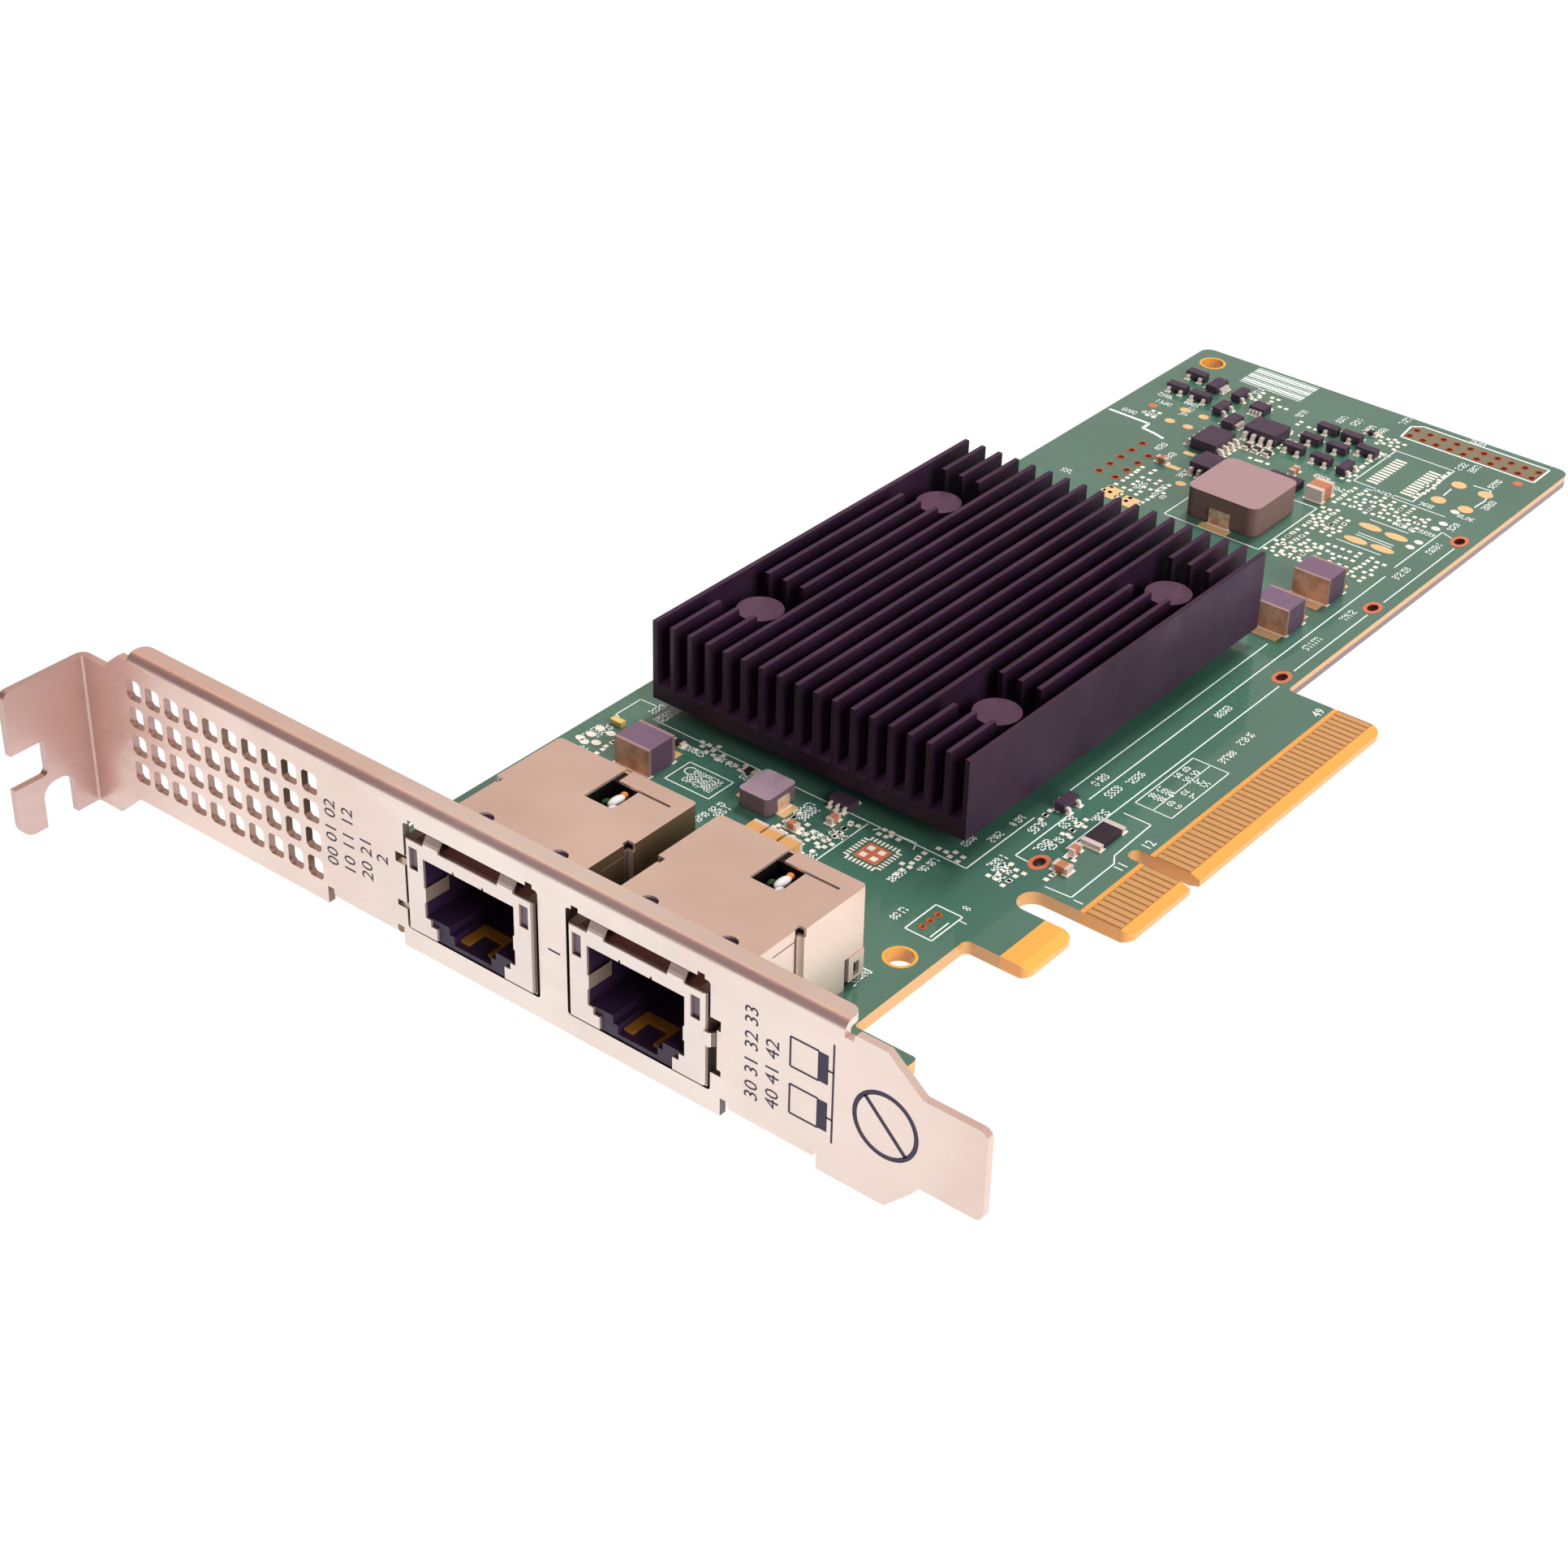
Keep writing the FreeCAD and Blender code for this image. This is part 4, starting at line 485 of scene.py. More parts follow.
def cad_materials():
    """Give every CAD node its finish: by its name, else by its ending, else a chip's."""
    gold = new_material("contact_gold", CONTACT_GOLD, metallic=0.7, roughness=0.30)
    vary_roughness(gold, 800, 0.24, 0.40)
    chip = moulded("chip_black", srgb(66, 50, 66), 0.50)
    named = {"circuit_board": board_material()}
    for group in (metal_nodes(gold), inductor_nodes(), small_part_nodes(), socket_nodes(gold)):
        named.update(group)
    endings = ending_finishes()
    for name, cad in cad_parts.items():
        by_ending = [finish for ending, finish in endings.items() if name.endswith(ending)]
        chosen = named.get(name, by_ending[0] if by_ending else chip)
        cad.data.materials.clear()
        cad.data.materials.append(chosen)


# ------------------------------------------------------------------ pieces
def finish_piece(name, mesh, material, slot):
    """Put a mesh into the scene as a piece that rides on the card."""
    piece = bpy.data.objects.new(name, mesh)
    bpy.context.scene.collection.objects.link(piece)
    mesh.materials.clear()
    mesh.materials.append(material)
    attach(piece, "root")


class Marks:
    """Thin flat shapes gathered into one mesh, in millimetres.

    They start at height base in the part's frame, or in the one that place stands for."""

    def __init__(self, name, material, slot, thick, base=BOARD_LIFT, place=None):
        self.name = name
        self.material = material
        self.slot = slot
        self.thick = thick
        self.base = base
        self.place = place
        self.mesh = bmesh.new()

    def polygon(self, points, base=None, side=1):
        """Flat outline raised by the marks' thickness, or lowered by it where side is -1."""
        base = self.base if base is None else base
        lift = (base + side * self.thick) * MM
        low = [self.mesh.verts.new((x * MM, y * MM, base * MM)) for x, y in points]
        high = [self.mesh.verts.new((x * MM, y * MM, lift)) for x, y in points]
        self.mesh.faces.new(high)
        for index in range(len(points)):
            beside = (index + 1) % len(points)
            self.mesh.faces.new((low[index], low[beside], high[beside], high[index]))

    def pad(self, x, y, long, wide, **where):
        self.polygon([(x - long / 2, y - wide / 2), (x + long / 2, y - wide / 2),
                      (x + long / 2, y + wide / 2), (x - long / 2, y + wide / 2)], **where)

    def disc(self, x, y, radius, count=16):
        self.oval(x, y, radius, radius, count)

    def oval(self, x, y, radius_x, radius_y, count=16):
        turn = 2 * math.pi / count
        self.polygon([(x + radius_x * math.cos(turn * i), y + radius_y * math.sin(turn * i))
                      for i in range(count)])

    def ring(self, x, y, inner, outer, count=24, stretch=1.0, **where):
        """Ring as a chain of four-sided pieces; stretch lengthens it along Y."""
        turn = 2 * math.pi / count
        for i in range(count):
            a, b = turn * i, turn * (i + 1)
            self.polygon([(x + inner * math.cos(a), y + stretch * inner * math.sin(a)),
                          (x + outer * math.cos(a), y + stretch * outer * math.sin(a)),
                          (x + outer * math.cos(b), y + stretch * outer * math.sin(b)),
                          (x + inner * math.cos(b), y + stretch * inner * math.sin(b))], **where)

    def line(self, x0, y0, x1, y1, wide=0.16):
        run = math.hypot(x1 - x0, y1 - y0)
        across = ((y0 - y1) / run * wide / 2, (x1 - x0) / run * wide / 2)
        self.polygon([(x0 + across[0], y0 + across[1]), (x0 - across[0], y0 - across[1]),
                      (x1 - across[0], y1 - across[1]), (x1 + across[0], y1 + across[1])])

    def path(self, points, wide=0.16, closed=False):
        ends = points[1:] + points[:1] if closed else points[1:]
        for (x0, y0), (x1, y1) in zip(points, ends):
            self.line(x0, y0, x1, y1, wide)

    def frame(self, x0, x1, y0, y1, wide=0.16):
        self.path([(x0, y0), (x1, y0), (x1, y1), (x0, y1)], wide, closed=True)

    def done(self):
        """Turn what was gathered into one piece."""
        if self.place is not None:
            bmesh.ops.transform(self.mesh, matrix=self.place, verts=self.mesh.verts)
        bmesh.ops.recalc_face_normals(self.mesh, faces=self.mesh.faces)
        mesh = bpy.data.meshes.new(self.name)
        self.mesh.to_mesh(mesh)
        self.mesh.free()
        finish_piece(self.name, mesh, self.material, self.slot)


def numerals(name, text, size, material, place, slot, thick):
    """Plain numbers as a thin mesh, half of its thickness on each side of the place."""
    curve = bpy.data.curves.new(name, "FONT")
    curve.body = text
    curve.size = size * MM
    curve.extrude = thick / 2 * MM
    curve.align_x = "CENTER"
    curve.align_y = "CENTER"
    curve.resolution_u = 2
    holder = bpy.data.objects.new(name + "_curve", curve)
    bpy.context.scene.collection.objects.link(holder)
    bpy.context.view_layer.update()
    mesh = bpy.data.meshes.new_from_object(holder)
    bpy.data.objects.remove(holder)
    mesh.transform(place)
    mesh.name = name
    finish_piece(name, mesh, material, slot)


# ------------------------------------------------------------------ board details
# bars that each figure lights: a top, b and c right, d bottom, e and f left, g middle
BARS = {"0": "abcdef", "1": "bc", "2": "abged", "3": "abgcd", "4": "fgbc",
        "5": "afgcd", "6": "afgedc", "7": "abc", "8": "abcdefg", "9": "abcfgd"}


def code_marks(marks, x, y, count, turned=False, size=0.85):
    """Short row of random plain figures where a part's printed code would stand.

    The row runs along Y, or along X where it is turned."""
    half = size * 0.22
    across = size * 0.5
    thick = size * 0.17
    bars = {"a": (0, across), "g": (0, 0), "d": (0, -across), "f": (-half, across / 2),
            "b": (half, across / 2), "e": (-half, -across / 2), "c": (half, -across / 2)}
    for index in range(count):
        start = (index - (count - 1) / 2) * size * 0.68
        for bar in BARS[random.choice("0123456789")]:
            along, up = bars[bar]
            flat = bar in "agd"
            long = half * 2 + thick if flat else thick
            tall = thick if flat else across + thick
            if turned:
                marks.pad(x - start - along, y - up, long, tall)
            else:
                marks.pad(x - up, y + start + along, tall, long)


def printed_lines(marks):
    """Lines, boxes and stripes round the parts."""
    marks.path([(-63.5, -13.3), (-19.65, -13.7), (-19.65, -1.3)])
    marks.line(-19.7, 4.5, -19.7, 46.5)
    marks.path([(-17.1, 1.7), (-17.1, -8.4), (-15.4, -8.5)])
    marks.line(-17.15, 5.4, -17.15, 70.0)
    marks.path([(-17.4, 72.7), (-17.3, 84.7), (-15.6, 84.1)])
    marks.line(-13.75, -3.9, -13.65, 39.2)
    for low, high in ((43.2, 60.3), (64.2, 82.0)):
        marks.line(-14.1, low, -14.1, high)
    marks.path([(-11.5, -11.0), (-8.3, -10.8), (-8.3, -2.9), (-9.1, -1.6), (-9.3, 5.7),
                (-12.8, 5.7)])
    marks.line(-63.2, -9.9, -63.3, -13.4)
    marks.path([(-65.0, -11.0), (-67.2, -11.1), (-67.2, -15.3), (-66.6, -15.4)], 0.15)
    marks.frame(-13.0, -8.3, 8.2, 19.8, 0.14)
    marks.line(-10.7, 8.2, -10.7, 19.8, 0.12)
    marks.frame(-54.6, -48.4, -21.4, -17.2, 0.15)
    marks.ring(-53.4, -18.5, 0.60, 0.75, 16)
    marks.frame(-18.2, -14.8, -26.2, -20.9, 0.17)
    marks.line(-15.3, -25.8, -15.3, -22.6)
    marks.path([(-34.9, 108.2), (-34.5, 104.7), (-14.8, 104.7), (-14.8, 109.3), (-33.6, 109.3)],
               0.28, closed=True)
    marks.frame(-32.9, -24.2, 89.4, 100.6)
    marks.line(-22.0, 93.6, -22.1, 95.9, 0.2)
    marks.path([(-20.4, 98.7), (-17.9, 98.9), (-17.2, 95.8), (-17.4, 93.4)], 0.2)
    marks.path([(-32.5, -13.9), (-32.5, -22.9), (-29.4, -22.9)], 0.15)
    marks.path([(-31.4, -14.5), (-30.9, -13.6), (-26.4, -13.4), (-25.9, -14.6)], 0.14)
    marks.frame(-46.6, -32.6, 65.4, 79.6)
    marks.path([(-68.4, 85.3), (-61.9, 85.2), (-61.9, 83.6), (-59.8, 83.3), (-58.1, 82.8)],
               0.45)
    for y in (77.0, 77.6):
        marks.line(-25.4, y, -20.2, y - 0.1)
    for y, x0, x1 in ((81.6, -26.0, -20.4), (74.3, -26.6, -20.3), (88.6, -30.6, -19.0)):
        marks.line(x0, y, x1, y)
    marks.path([(-19.4, -34.2), (-16.2, -34.2), (-16.2, -37.2)], 0.18)
    for row in range(10):
        marks.pad(-55.0, 104.6 + row * 0.58, 9.6, 0.16 + 0.16 * (row % 3))


def printed_codes(marks):
    """Rows of random figures beside the parts."""
    for x in (-52.7, -51.9, -51.1, -50.3, -49.5):
        code_marks(marks, x, -19.2, 6, size=0.68)
    for x, y in ((-22.4, -9.5), (-20.7, -7.0), (-20.7, -3.0), (-46.7, -22.0), (-45.7, -22.4)):
        code_marks(marks, x, y, 4, size=0.8)
    for x, y in ((-18.6, 2.4), (-18.4, -2.6), (-16.4, 0.3), (-15.9, -5.0), (-15.2, -3.9),
                 (-14.4, 3.6), (-17.9, -10.6), (-17.0, -11.4), (-16.1, -12.2), (-18.4, 9.4),
                 (-16.0, 8.4)):
        code_marks(marks, x, y, 4, size=0.95)
    for x, y, count, turned in (
            (-60.0, 91.5, 5, False), (-56.0, 103.6, 4, False), (-48.0, 101.5, 4, False),
            (-43.0, 103.7, 4, False), (-41.1, 104.3, 4, False), (-38.8, 103.8, 4, False),
            (-37.2, 103.9, 4, False), (-36.3, 109.1, 4, False), (-25.7, 109.9, 4, True),
            (-33.5, 98.5, 3, True), (-36.5, 87.4, 4, True), (-24.1, 102.4, 4, False),
            (-22.5, 102.9, 4, False), (-18.4, 100.9, 5, False), (-16.2, 95.1, 5, False),
            (-16.9, 86.9, 4, False), (-16.9, 90.1, 4, True), (-18.7, 83.2, 4, True),
            (-16.0, 80.0, 6, False), (-16.0, 72.0, 6, False), (-28.2, 89.0, 5, True),
            (-21.9, 82.8, 5, True), (-22.2, 89.8, 4, True), (-33.4, 86.0, 4, True),
            (-15.7, 50.0, 6, False), (-15.8, 58.6, 5, False), (-25.8, 55.0, 4, True),
            (-66.0, 86.6, 4, True), (-63.5, 87.7, 4, True), (-63.8, 91.8, 4, True),
            (-64.9, 93.8, 4, True), (-60.8, 94.0, 4, True), (-57.1, 80.7, 4, False),
            (-54.7, 79.2, 4, False), (-50.7, 76.2, 4, False), (-50.5, 70.9, 4, False),
            (-53.0, 69.7, 4, False), (-62.5, 66.8, 3, True), (-49.6, 69.0, 4, True),
            (-66.8, -19.4, 5, False), (-66.0, -18.8, 5, False), (-66.9, -24.6, 5, False),
            (-66.1, -24.2, 5, False), (-65.3, -23.8, 5, False), (-64.4, -11.4, 4, False),
            (-62.6, -12.0, 5, False), (-55.6, -15.2, 5, True), (-51.8, -14.6, 5, True),
            (-47.6, -15.6, 4, True), (-46.8, -24.6, 4, False), (-44.2, -24.2, 5, False),
            (-39.4, -16.2, 5, False), (-38.4, -16.6, 5, False), (-37.2, -19.8, 4, True),
            (-35.2, -19.0, 4, True), (-33.6, -17.6, 4, True), (-33.4, -23.2, 5, False),
            (-31.2, -24.4, 5, False), (-24.4, -19.6, 5, False), (-23.0, -15.8, 5, False),
            (-20.2, -24.6, 4, False), (-16.6, -35.6, 4, False), (-15.4, -19.4, 1, False),
            (-10.2, 22.5, 5, False), (-11.6, 10.6, 4, True), (-11.6, 12.2, 4, True),
            (-11.6, 15.8, 4, True), (-11.6, 17.4, 4, True), (-9.5, 10.6, 3, True),
            (-9.5, 13.4, 3, True), (-9.5, 16.2, 3, True), (-10.6, 27.0, 5, False),
            (-15.6, 12.2, 5, False), (-15.6, 30.2, 5, False), (-66.5, 52.0, 5, False),
            (-66.5, 60.0, 5, False)):
        code_marks(marks, x, y, count, turned)


def board_print(white):
    """White print on the component side."""
    marks = Marks("board_print", white, "board", thick=0.015)
    printed_lines(marks)
    printed_codes(marks)
    marks.done()


def board_numbers(white):
    """Plain numbers beside the ends of the contact rows and at the headers."""
    for index, (text, x, y, size) in enumerate((
            ("1", -7.2, -11.0, 1.7), ("11", -7.4, -2.9, 1.7), ("12", -7.4, 2.4, 1.7),
            ("49", -7.2, 37.2, 1.7), ("1", -14.2, -21.6, 1.4), ("1", -37.0, 105.2, 1.4))):
        place = Matrix.Translation((x * MM, y * MM, (BOARD_LIFT + 0.012) * MM))
        place = place @ Matrix.Rotation(math.radians(90), 4, "Z")
        numerals("board_number_" + str(index + 1), text, size, white, place, "board",
                 thick=0.015)


def footprint_rows(marks, x, y, count, pitch, gap, long, wide, along="y"):
    """Two rows of pads on either side of a small package that is not fitted."""
    for index in range(count):
        step = (index - (count - 1) / 2) * pitch
        for side in (-1, 1):
            if along == "y":
                marks.pad(x + side * gap / 2, y + step, long, wide)
            else:
                marks.pad(x + step, y + side * gap / 2, wide, long)


def pad_pairs(marks, x0, x1, y0, y1, count, side=0.55):
    """Bare pad pairs of small parts that are not fitted, on a loose grid."""
    columns = max(1, round(math.sqrt(count * (x1 - x0) / (y1 - y0))))
    rows = math.ceil(count / columns)
    for index in range(count):
        column, row = index % columns, index // columns
        x = x0 + (column + 0.5 + random.uniform(-0.12, 0.12)) * (x1 - x0) / columns
        y = y0 + (row + 0.5 + random.uniform(-0.12, 0.12)) * (y1 - y0) / rows
        step = (0.5, 0) if random.random() < 0.35 else (0, 0.5)
        marks.pad(x - step[0], y - step[1], side, side)
        marks.pad(x + step[0], y + step[1], side, side)


def bare_pads(tin, gold):
    """Tinned and gold pads of parts that are not fitted."""
    marks = Marks("bare_pads", tin, "tin", thick=0.03)
    footprint_rows(marks, -28.35, 94.5, count=11, pitch=0.76, gap=5.0, long=1.7, wide=0.42)
    for along in ("y", "x"):
        footprint_rows(marks, *SQUARE_CHIP, count=8, pitch=0.5, gap=4.3, long=0.7, wide=0.24,
                       along=along)
    for x in (-29.4, -28.0):
        for y in (-18.7, -17.3):
            marks.pad(x, y, 0.75, 0.75, base=BOARD_LIFT + marks.thick)
    for x0, x1, y0, y1, count in (
            (-32.2, -27.0, 65.6, 73.2, 22), (-27.0, -18.2, 66.4, 73.2, 20),
            (-32.2, -27.2, 74.4, 81.0, 18), (-32.4, -19.4, 82.4, 88.0, 34),
            (-56.4, -49.4, 64.6, 74.8, 18), (-64.5, -62.0, 86.0, 90.0, 2),
            (-46.6, -43.6, 80.0, 89.0, 7), (-34.6, -33.2, 88.0, 99.0, 6),
            (-36.4, -32.8, 100.6, 103.4, 6), (-47.6, -44.0, 90.0, 100.0, 8),
            (-25.4, -23.4, 90.6, 99.8, 6), (-56.0, -50.0, 100.8, 103.6, 5),
            (-19.9, -18.2, -1.2, 0.8, 2), (-16.0, -14.4, -2.4, 2.0, 5),
            (-17.4, -14.0, -14.0, -9.8, 6), (-24.0, -20.4, -13.2, -12.2, 3),
            (-31.0, -26.4, -14.4, -13.8, 3), (-34.6, -32.8, -21.6, -14.4, 8),
            (-40.2, -34.6, -21.6, -17.0, 10), (-64.8, -62.2, -24.5, -15.0, 6),
            (-56.4, -47.0, -15.0, -12.6, 8), (-25.4, -24.0, -19.6, -14.0, 4),
            (-13.0, -11.4, -10.2, -4.6, 4)):
        pad_pairs(marks, x0, x1, y0, y1, count)
    for x, y in ((-18.3, 80.4), (-18.5, 78.6), (-18.3, 86.8), (-18.4, 85.0), (-18.7, 90.6),
                 (-66.95, -21.4), (-66.1, -21.7), (-66.55, -18.6), (-64.95, -18.6),
                 (-64.95, -21.0), (-66.5, -20.1)):
        marks.oval(x, y, 0.6, 0.5)
    marks.done()

    marks = Marks("gold_pads", gold, "gold", thick=0.03)
    for x, y in ((-21.85, 97.5), (-17.95, 97.45), (-21.9, 92.1), (-18.0, 92.1)):
        marks.oval(x, y, 1.05, 0.95, 12)
    for x, y in ((-24.9, 79.8), (-21.1, 79.7), (-24.6, 75.6), (-20.9, 75.8)):
        marks.oval(x, y, 1.65, 0.75)
    for x, y in ((-60.5, 91.9), (-57.5, 91.8), (-60.3, 87.8), (-57.5, 87.9), (-49.4, 73.6)):
        marks.oval(x, y, 0.75, 0.65)
    for x, y, long, wide in (
            (-52.8, 76.8, 2.4, 0.9), (-53.1, 81.4, 1.6, 0.9), (-54.9, 65.6, 2.4, 3.0),
            (-51.7, 65.0, 2.4, 2.6), (-39.65, 66.2, 4.2, 1.5), (-39.65, 78.5, 4.2, 1.5),
            (-40.5, -17.65, 1.2, 2.6), (-46.1, -17.65, 1.2, 2.6)):
        marks.pad(x, y, long, wide)
    for x, y in FERRITE_SPOTS:
        for side in (-1, 1):
            marks.pad(x, y + side * 2.75, 4.2, 2.2)
    marks.done()


def foot_prints(cad):
    """Outlines, in millimetres, of the places where a node's separate solids meet the board."""
    mesh = cad.data
    joined = {}        # leads each corner to one corner that stands for its whole solid

    def top_of(key):
        while joined[key] != key:
            joined[key] = joined[joined[key]]
            key = joined[key]
        return key

    spots = [tuple(round(c / MM, 3) for c in cad.matrix_world @ v.co) for v in mesh.vertices]
    for spot in spots:
        joined[spot] = spot
    for face in mesh.polygons:
        first = top_of(spots[face.vertices[0]])
        for index in face.vertices[1:]:
            joined[top_of(spots[index])] = first
    feet = {}
    for spot in sorted(joined):
        if abs(spot[2]) < NEAR_BOARD:
            feet.setdefault(top_of(spot), []).append(spot)
    for foot in feet.values():
        xs = [spot[0] for spot in foot]
        ys = [spot[1] for spot in foot]
        yield min(xs), max(xs), min(ys), max(ys)


def solder_joints(solder):
    """Low bright solder round the foot of every lead, cap end and terminal."""
    marks = Marks("solder_joints", solder, "tin", thick=0.07)
    for name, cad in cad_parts.items():
        if name.endswith(("_leads", "_ends", "_terminals")):
            for x0, x1, y0, y1 in foot_prints(cad):
                marks.pad((x0 + x1) / 2, (y0 + y1) / 2, x1 - x0 + SOLDER_SPREAD,
                          y1 - y0 + SOLDER_SPREAD)
    marks.done()


def plated_rings(gold, copper):
    """Rings of holes and slots, the two sighting marks and the square pad under a chip."""
    marks = Marks("hole_rings", gold, "gold", thick=0.03)
    for x, y in MOUNT_HOLES:
        marks.ring(x, y, *HOLE_RING)
        marks.ring(x, y, *HOLE_RING, base=BOARD_UNDER_Z - BOARD_LIFT, side=-1)
    marks.done()
    marks = Marks("slot_rings", copper, "gold", thick=0.03)
    for y in SLOT_YS:
        marks.ring(SLOT_X, y, *SLOT_RING, stretch=1.40)
    for x, y in ((-64.5, 90.1), (-16.2, 103.0)):
        marks.disc(x, y, 0.65)
    marks.pad(*SQUARE_CHIP, 3.0, 3.0)
    marks.done()


def plated_vias(via, dark, covered):
    """Vias in two rows and in the header that is not fitted, and the header pins' rings."""
    spots = [(-59.4, 69.6 + 2.55 * index) for index in range(5)]
    spots += [(-56.8, 69.5 + 2.6 * index) for index in range(4)]
    for row in range(10):
        spots += [(-15.55 - 2.02 * row, 105.65), (-15.55 - 2.02 * row, 107.7)]
    marks = Marks("via_rings", via, "gold", thick=0.03)
    for index in (-1, 0, 1):
        marks.ring(-17.0, -23.5 + 1.3 * index, 0.30, 0.52, 12)
    for x, y in spots:
        marks.ring(x, y, 0.42, 0.66, 12)
    marks.done()
    marks = Marks("header_area", covered, "board", thick=0.012)
    marks.polygon([(-34.2, 105.0), (-15.2, 105.0), (-15.2, 108.9), (-33.4, 108.9),
                   (-34.5, 108.0)])
    marks.done()
    # painted shade: dark discs fill the open holes inside the rings
    marks = Marks("hole_centre_shade", dark, "board", thick=0.028)
    for x, y in spots:
        marks.disc(x, y, 0.42, 10)
    marks.done()


# ------------------------------------------------------------------ bracket print
def bracket_place(x, z):
    """Matrix that stands a mark drawn in its own XY plane on the bracket's outer face."""
    outer = Vector((x * MM, BRACKET_FACE_Y * MM, z * MM))
    turn = Matrix(((1, 0, 0), (0, 0, -1), (0, 1, 0))).to_4x4()
    return Matrix.Translation(outer) @ turn


def bracket_print(ink):
    """Dark light signs, a ring and plain numbers on the bracket's outer face."""
    marks = Marks("bracket_marks", ink, "bracket_nickel", thick=0.012, base=0.0,
                  place=bracket_place(0, 0))
    for low in (2.0, 7.5):
        marks.frame(-7.5, -4.2, low, low + 3.4, 0.22)
        marks.pad(-3.6, low + 1.7, 1.0, 3.4)
    marks.line(-2.5, 1.0, -2.5, 12.5, 0.22)
    for z in (3.7, 9.2):
        marks.line(-3.2, z, -2.5, z, 0.22)
    marks.ring(3.5, 6.3, 3.25, 3.75, 40)
    marks.line(1.1, 8.7, 5.9, 3.9, 0.45)
    marks.done()
    upright = Matrix.Rotation(math.radians(90), 4, "Z")
    for index, (text, x, z, size) in enumerate((
            ("00 01 02", -67.2, 6.4, 2.3), ("10 11 12", -64.7, 6.4, 2.3),
            ("20 21", -62.2, 5.4, 2.3), ("2", -59.9, 6.4, 2.3), ("1", -36.6, 6.2, 2.3),
            ("30 31 32 33", -12.0, 6.6, 2.3), ("40 41 42", -9.5, 5.4, 2.3))):
        numerals("bracket_number_" + str(index + 1), text, size, ink,
                 bracket_place(x, z) @ upright, "bracket_nickel", thick=0.012)


# ------------------------------------------------------------------ socket insides
def ball(name, material, slot, place, size):
    """Small rounded piece: middle and half sizes in millimetres."""
    shape = bmesh.new()
    bmesh.ops.create_uvsphere(shape, u_segments=16, v_segments=10, radius=1.0)
    for face in shape.faces:
        face.smooth = True
    matrix = Matrix.Translation(Vector(place) * MM) @ Matrix.Diagonal(Vector(size) * MM).to_4x4()
    bmesh.ops.transform(shape, matrix=matrix, verts=shape.verts)
    mesh = bpy.data.meshes.new(name)
    shape.to_mesh(mesh)
    shape.free()
    finish_piece(name, mesh, material, slot)


def socket_details(core, winding, bobbin, shade):
    """Wound parts in each shell's top cut-out, and thin dark sheets of painted shade behind its top
    leaves.
    """
    for number in ("1", "2"):
        low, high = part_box("port_" + number + "_magnetics")
        middle = (low.x + high.x) / 2 / MM
        top = high.z / MM
        for piece, material, slot, across, y, down, size in (
                ("core", core, "tin", 2.1, -39.2, 0.55, (0.62, 1.25, 0.45)),
                ("core_end", core, "tin", 2.5, -40.3, 0.75, (0.42, 0.75, 0.35)),
                ("winding", winding, "gold", 2.0, -37.9, 0.60, (0.45, 0.50, 0.40)),
                ("bobbin", bobbin, "board", 0.75, -39.3, 1.2, (0.40, 0.60, 0.35))):
            ball("port_" + number + "_" + piece, material, slot,
                 (middle + across, y, top - down), size)
        # painted shade: dark sheets on the shell's top, behind the top leaves
        marks = Marks("port_" + number + "_leaf_slot_shade", shade, "board", thick=0.01,
                      base=LEAF_TOP_Z)
        for x0, x1 in ((-7.5, -6.15), (-3.85, 3.85), (6.15, 7.5)):
            marks.pad(middle + (x0 + x1) / 2, LEAF_SHADE_Y, x1 - x0, 2.1)
        marks.done()


# ------------------------------------------------------------------ stage, light, camera
# the room that shiny faces mirror, from -Y (0) to +Y (1): dark in front, a soft box
# overhead, a warm wall behind
ROOM_STOPS = [
    (0.00, srgb(176, 150, 140)), (0.10, srgb(134, 108, 110)), (0.38, srgb(120, 92, 96)),
    (0.48, srgb(140, 108, 106)), (0.54, srgb(244, 194, 170)), (0.62, srgb(240, 198, 176)),
    (0.72, srgb(206, 188, 178)), (1.00, srgb(198, 180, 170)),
]
WORLD_SOFT = (0.22, 0.21, 0.23, 1)
FLOOR_WHITE = (0.9, 0.9, 0.9, 1)
FLOOR_SIZE = 6.0                    # metres, as the gap and the lamps' places are
FLOOR_GAP = 0.0002
LAMP_AIM = Vector((-0.04, 0.0, 0.0))
CAMERA_PLACE = Vector((124.575, -225.886, 181.076)) * MM
CAMERA_RIGHT = Vector((0.79182308, 0.60961028, 0.03730302))
CAMERA_DOWN = Vector((0.35733906, -0.41288425, -0.83775617))
CAMERA_AHEAD = Vector((-0.49530295, 0.67668449, -0.54476884))
CAMERA_LENS = 68.945
CAMERA_SHIFT = (-0.06488, -0.02279)


def add_floor():
    """White floor just under the part: plain white where it is looked at or mirrored."""
    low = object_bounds()[0]
    bpy.ops.mesh.primitive_plane_add(size=FLOOR_SIZE, location=(0, 0, low.z - FLOOR_GAP))
    floor = bpy.context.object
    floor.name = "floor"
    material = bpy.data.materials.new("floor_white")
    material.use_nodes = True
    material.node_tree.nodes.clear()
    output = node(material, "ShaderNodeOutputMaterial")
    matt = node(material, "ShaderNodeBsdfDiffuse")
    matt.inputs["Color"].default_value = FLOOR_WHITE
    glow = node(material, "ShaderNodeEmission")
    glow.inputs["Strength"].default_value = 1.0
    blend = node(material, "ShaderNodeMixShader")
    path = node(material, "ShaderNodeLightPath")
    seen = combine(material, "MAXIMUM", path.outputs["Is Camera Ray"],
                   path.outputs["Is Glossy Ray"])
    link(material, seen, blend.inputs["Fac"])
    link(material, matt.outputs[0], blend.inputs[1])
    link(material, glow.outputs[0], blend.inputs[2])
    link(material, blend.outputs[0], output.inputs["Surface"])
    floor.data.materials.append(material)


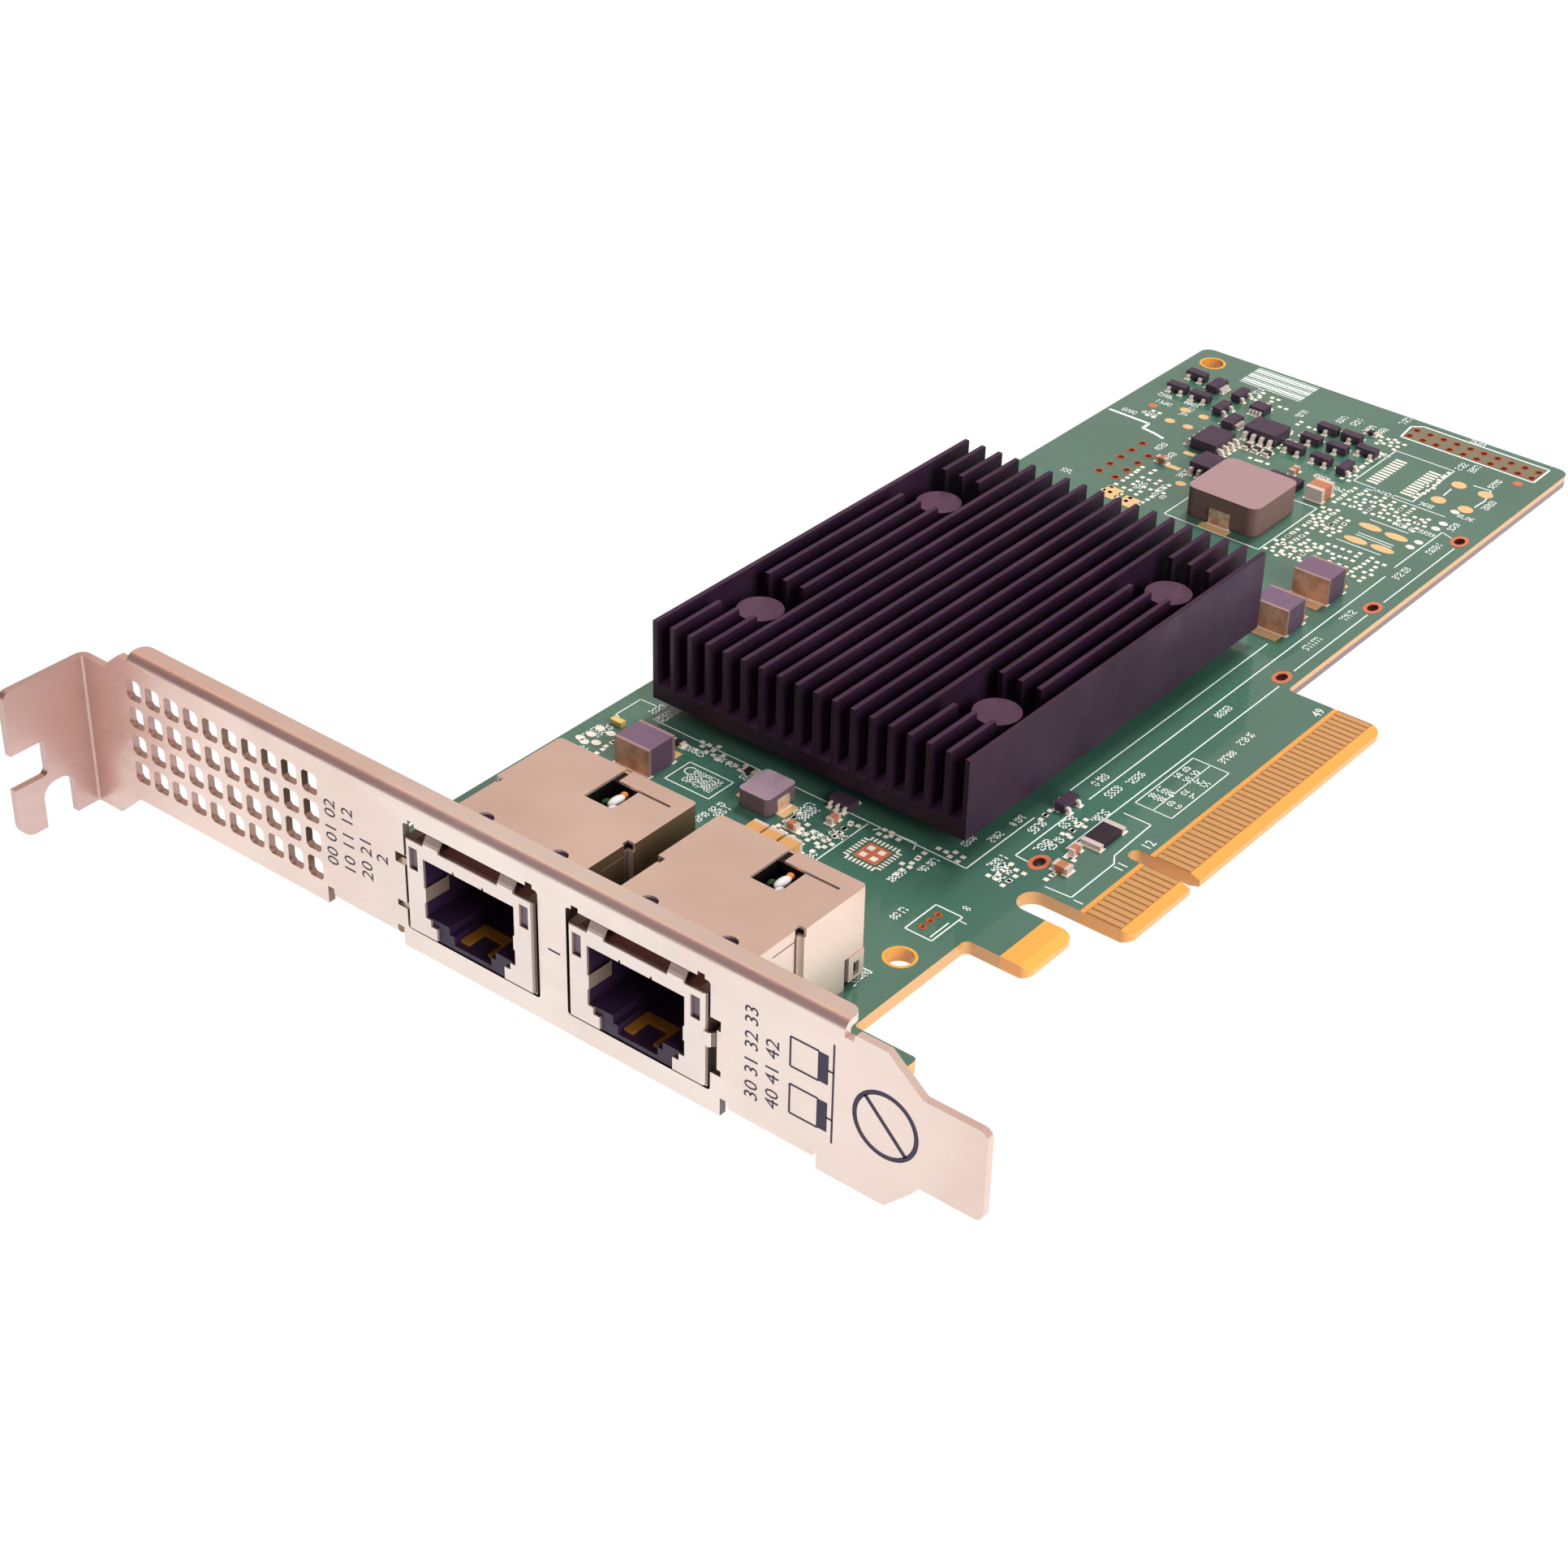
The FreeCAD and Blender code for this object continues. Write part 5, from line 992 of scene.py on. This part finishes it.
def add_world():
    """Soft grey light, white where it is looked at, the room where it is mirrored."""
    world = bpy.data.worlds.new("studio")
    bpy.context.scene.world = world
    world.use_nodes = True
    path = node(world, "ShaderNodeLightPath")
    toward = node(world, "ShaderNodeTexCoord")
    split = node(world, "ShaderNodeSeparateXYZ")
    spread = node(world, "ShaderNodeMapRange")
    spread.inputs["From Min"].default_value = -1.0
    spread.inputs["From Max"].default_value = 1.0
    link(world, toward.outputs["Generated"], split.inputs["Vector"])
    link(world, split.outputs["Y"], spread.inputs["Value"])
    room = ramp(world, spread.outputs[0], ROOM_STOPS)
    mirrored = mix_colour(world, path.outputs["Is Glossy Ray"], WORLD_SOFT, room)
    colour = mix_colour(world, path.outputs["Is Camera Ray"], mirrored, WHITE)
    back = world.node_tree.nodes["Background"]
    link(world, colour, back.inputs["Color"])
    back.inputs["Strength"].default_value = 1.0


def add_lamp(name, place, size, power):
    """Square lamp aimed at the part, not seen in shiny faces."""
    lamp = bpy.data.lights.new(name, "AREA")
    lamp.size = size
    lamp.energy = power
    holder = bpy.data.objects.new(name, lamp)
    bpy.context.scene.collection.objects.link(holder)
    holder.location = place
    holder.visible_glossy = False
    holder.rotation_mode = "QUATERNION"
    holder.rotation_quaternion = (LAMP_AIM - Vector(place)).to_track_quat("-Z", "Y")


def add_camera():
    data = bpy.data.cameras.new("camera")
    data.sensor_width = 36
    data.lens = CAMERA_LENS
    data.shift_x, data.shift_y = CAMERA_SHIFT
    data.clip_start = 0.01
    camera = bpy.data.objects.new("camera", data)
    bpy.context.scene.collection.objects.link(camera)
    turn = Matrix((CAMERA_RIGHT, -CAMERA_DOWN, -CAMERA_AHEAD)).transposed().to_4x4()
    camera.matrix_world = Matrix.Translation(CAMERA_PLACE) @ turn
    bpy.context.scene.camera = camera


# ------------------------------------------------------------------ build
cad_materials()
bpy.context.view_layer.update()
white = new_material("print_white", PRINT_WHITE, roughness=0.6)
ink = new_material("print_ink", srgb(58, 44, 74), roughness=0.5)
pad_tin = new_material("pad_tin", PAD_TIN, metallic=0.2, roughness=0.35)
pad_gold = new_material("pad_gold", PAD_GOLD, metallic=0.3, roughness=0.35)
ring_gold = new_material("ring_gold", RING_GOLD, metallic=0.3, roughness=0.35)
copper = new_material("copper", COPPER, metallic=0.2, roughness=0.4)
via = new_material("via_copper", srgb(178, 88, 52), metallic=0.2, roughness=0.4)
# painted shade for the open holes
dark = new_material("hole_shade", srgb(62, 26, 16), roughness=0.7)
covered = new_material("covered_copper", srgb(112, 108, 88), roughness=0.35)
shade = new_material("slot_shade", srgb(58, 26, 24), roughness=0.8)
core = new_material("core_white", srgb(232, 222, 220), roughness=0.15, coat=0.6)
winding = new_material("winding", srgb(226, 132, 52), roughness=0.3, coat=0.4)
bobbin = new_material("bobbin", srgb(40, 78, 36), roughness=0.5)

board_print(white)
board_numbers(white)
bare_pads(pad_tin, pad_gold)
solder_joints(pad_tin)
plated_rings(ring_gold, copper)
plated_vias(via, dark, covered)
bracket_print(ink)
socket_details(core, winding, bobbin, shade)
add_floor()
add_world()
add_lamp("key", (-0.10, 0.46, 0.70), size=0.20, power=7.0)
add_lamp("fill", (0.65, -0.15, 0.32), size=0.5, power=6.0)
add_camera()
bpy.context.scene.view_settings.view_transform = "Standard"
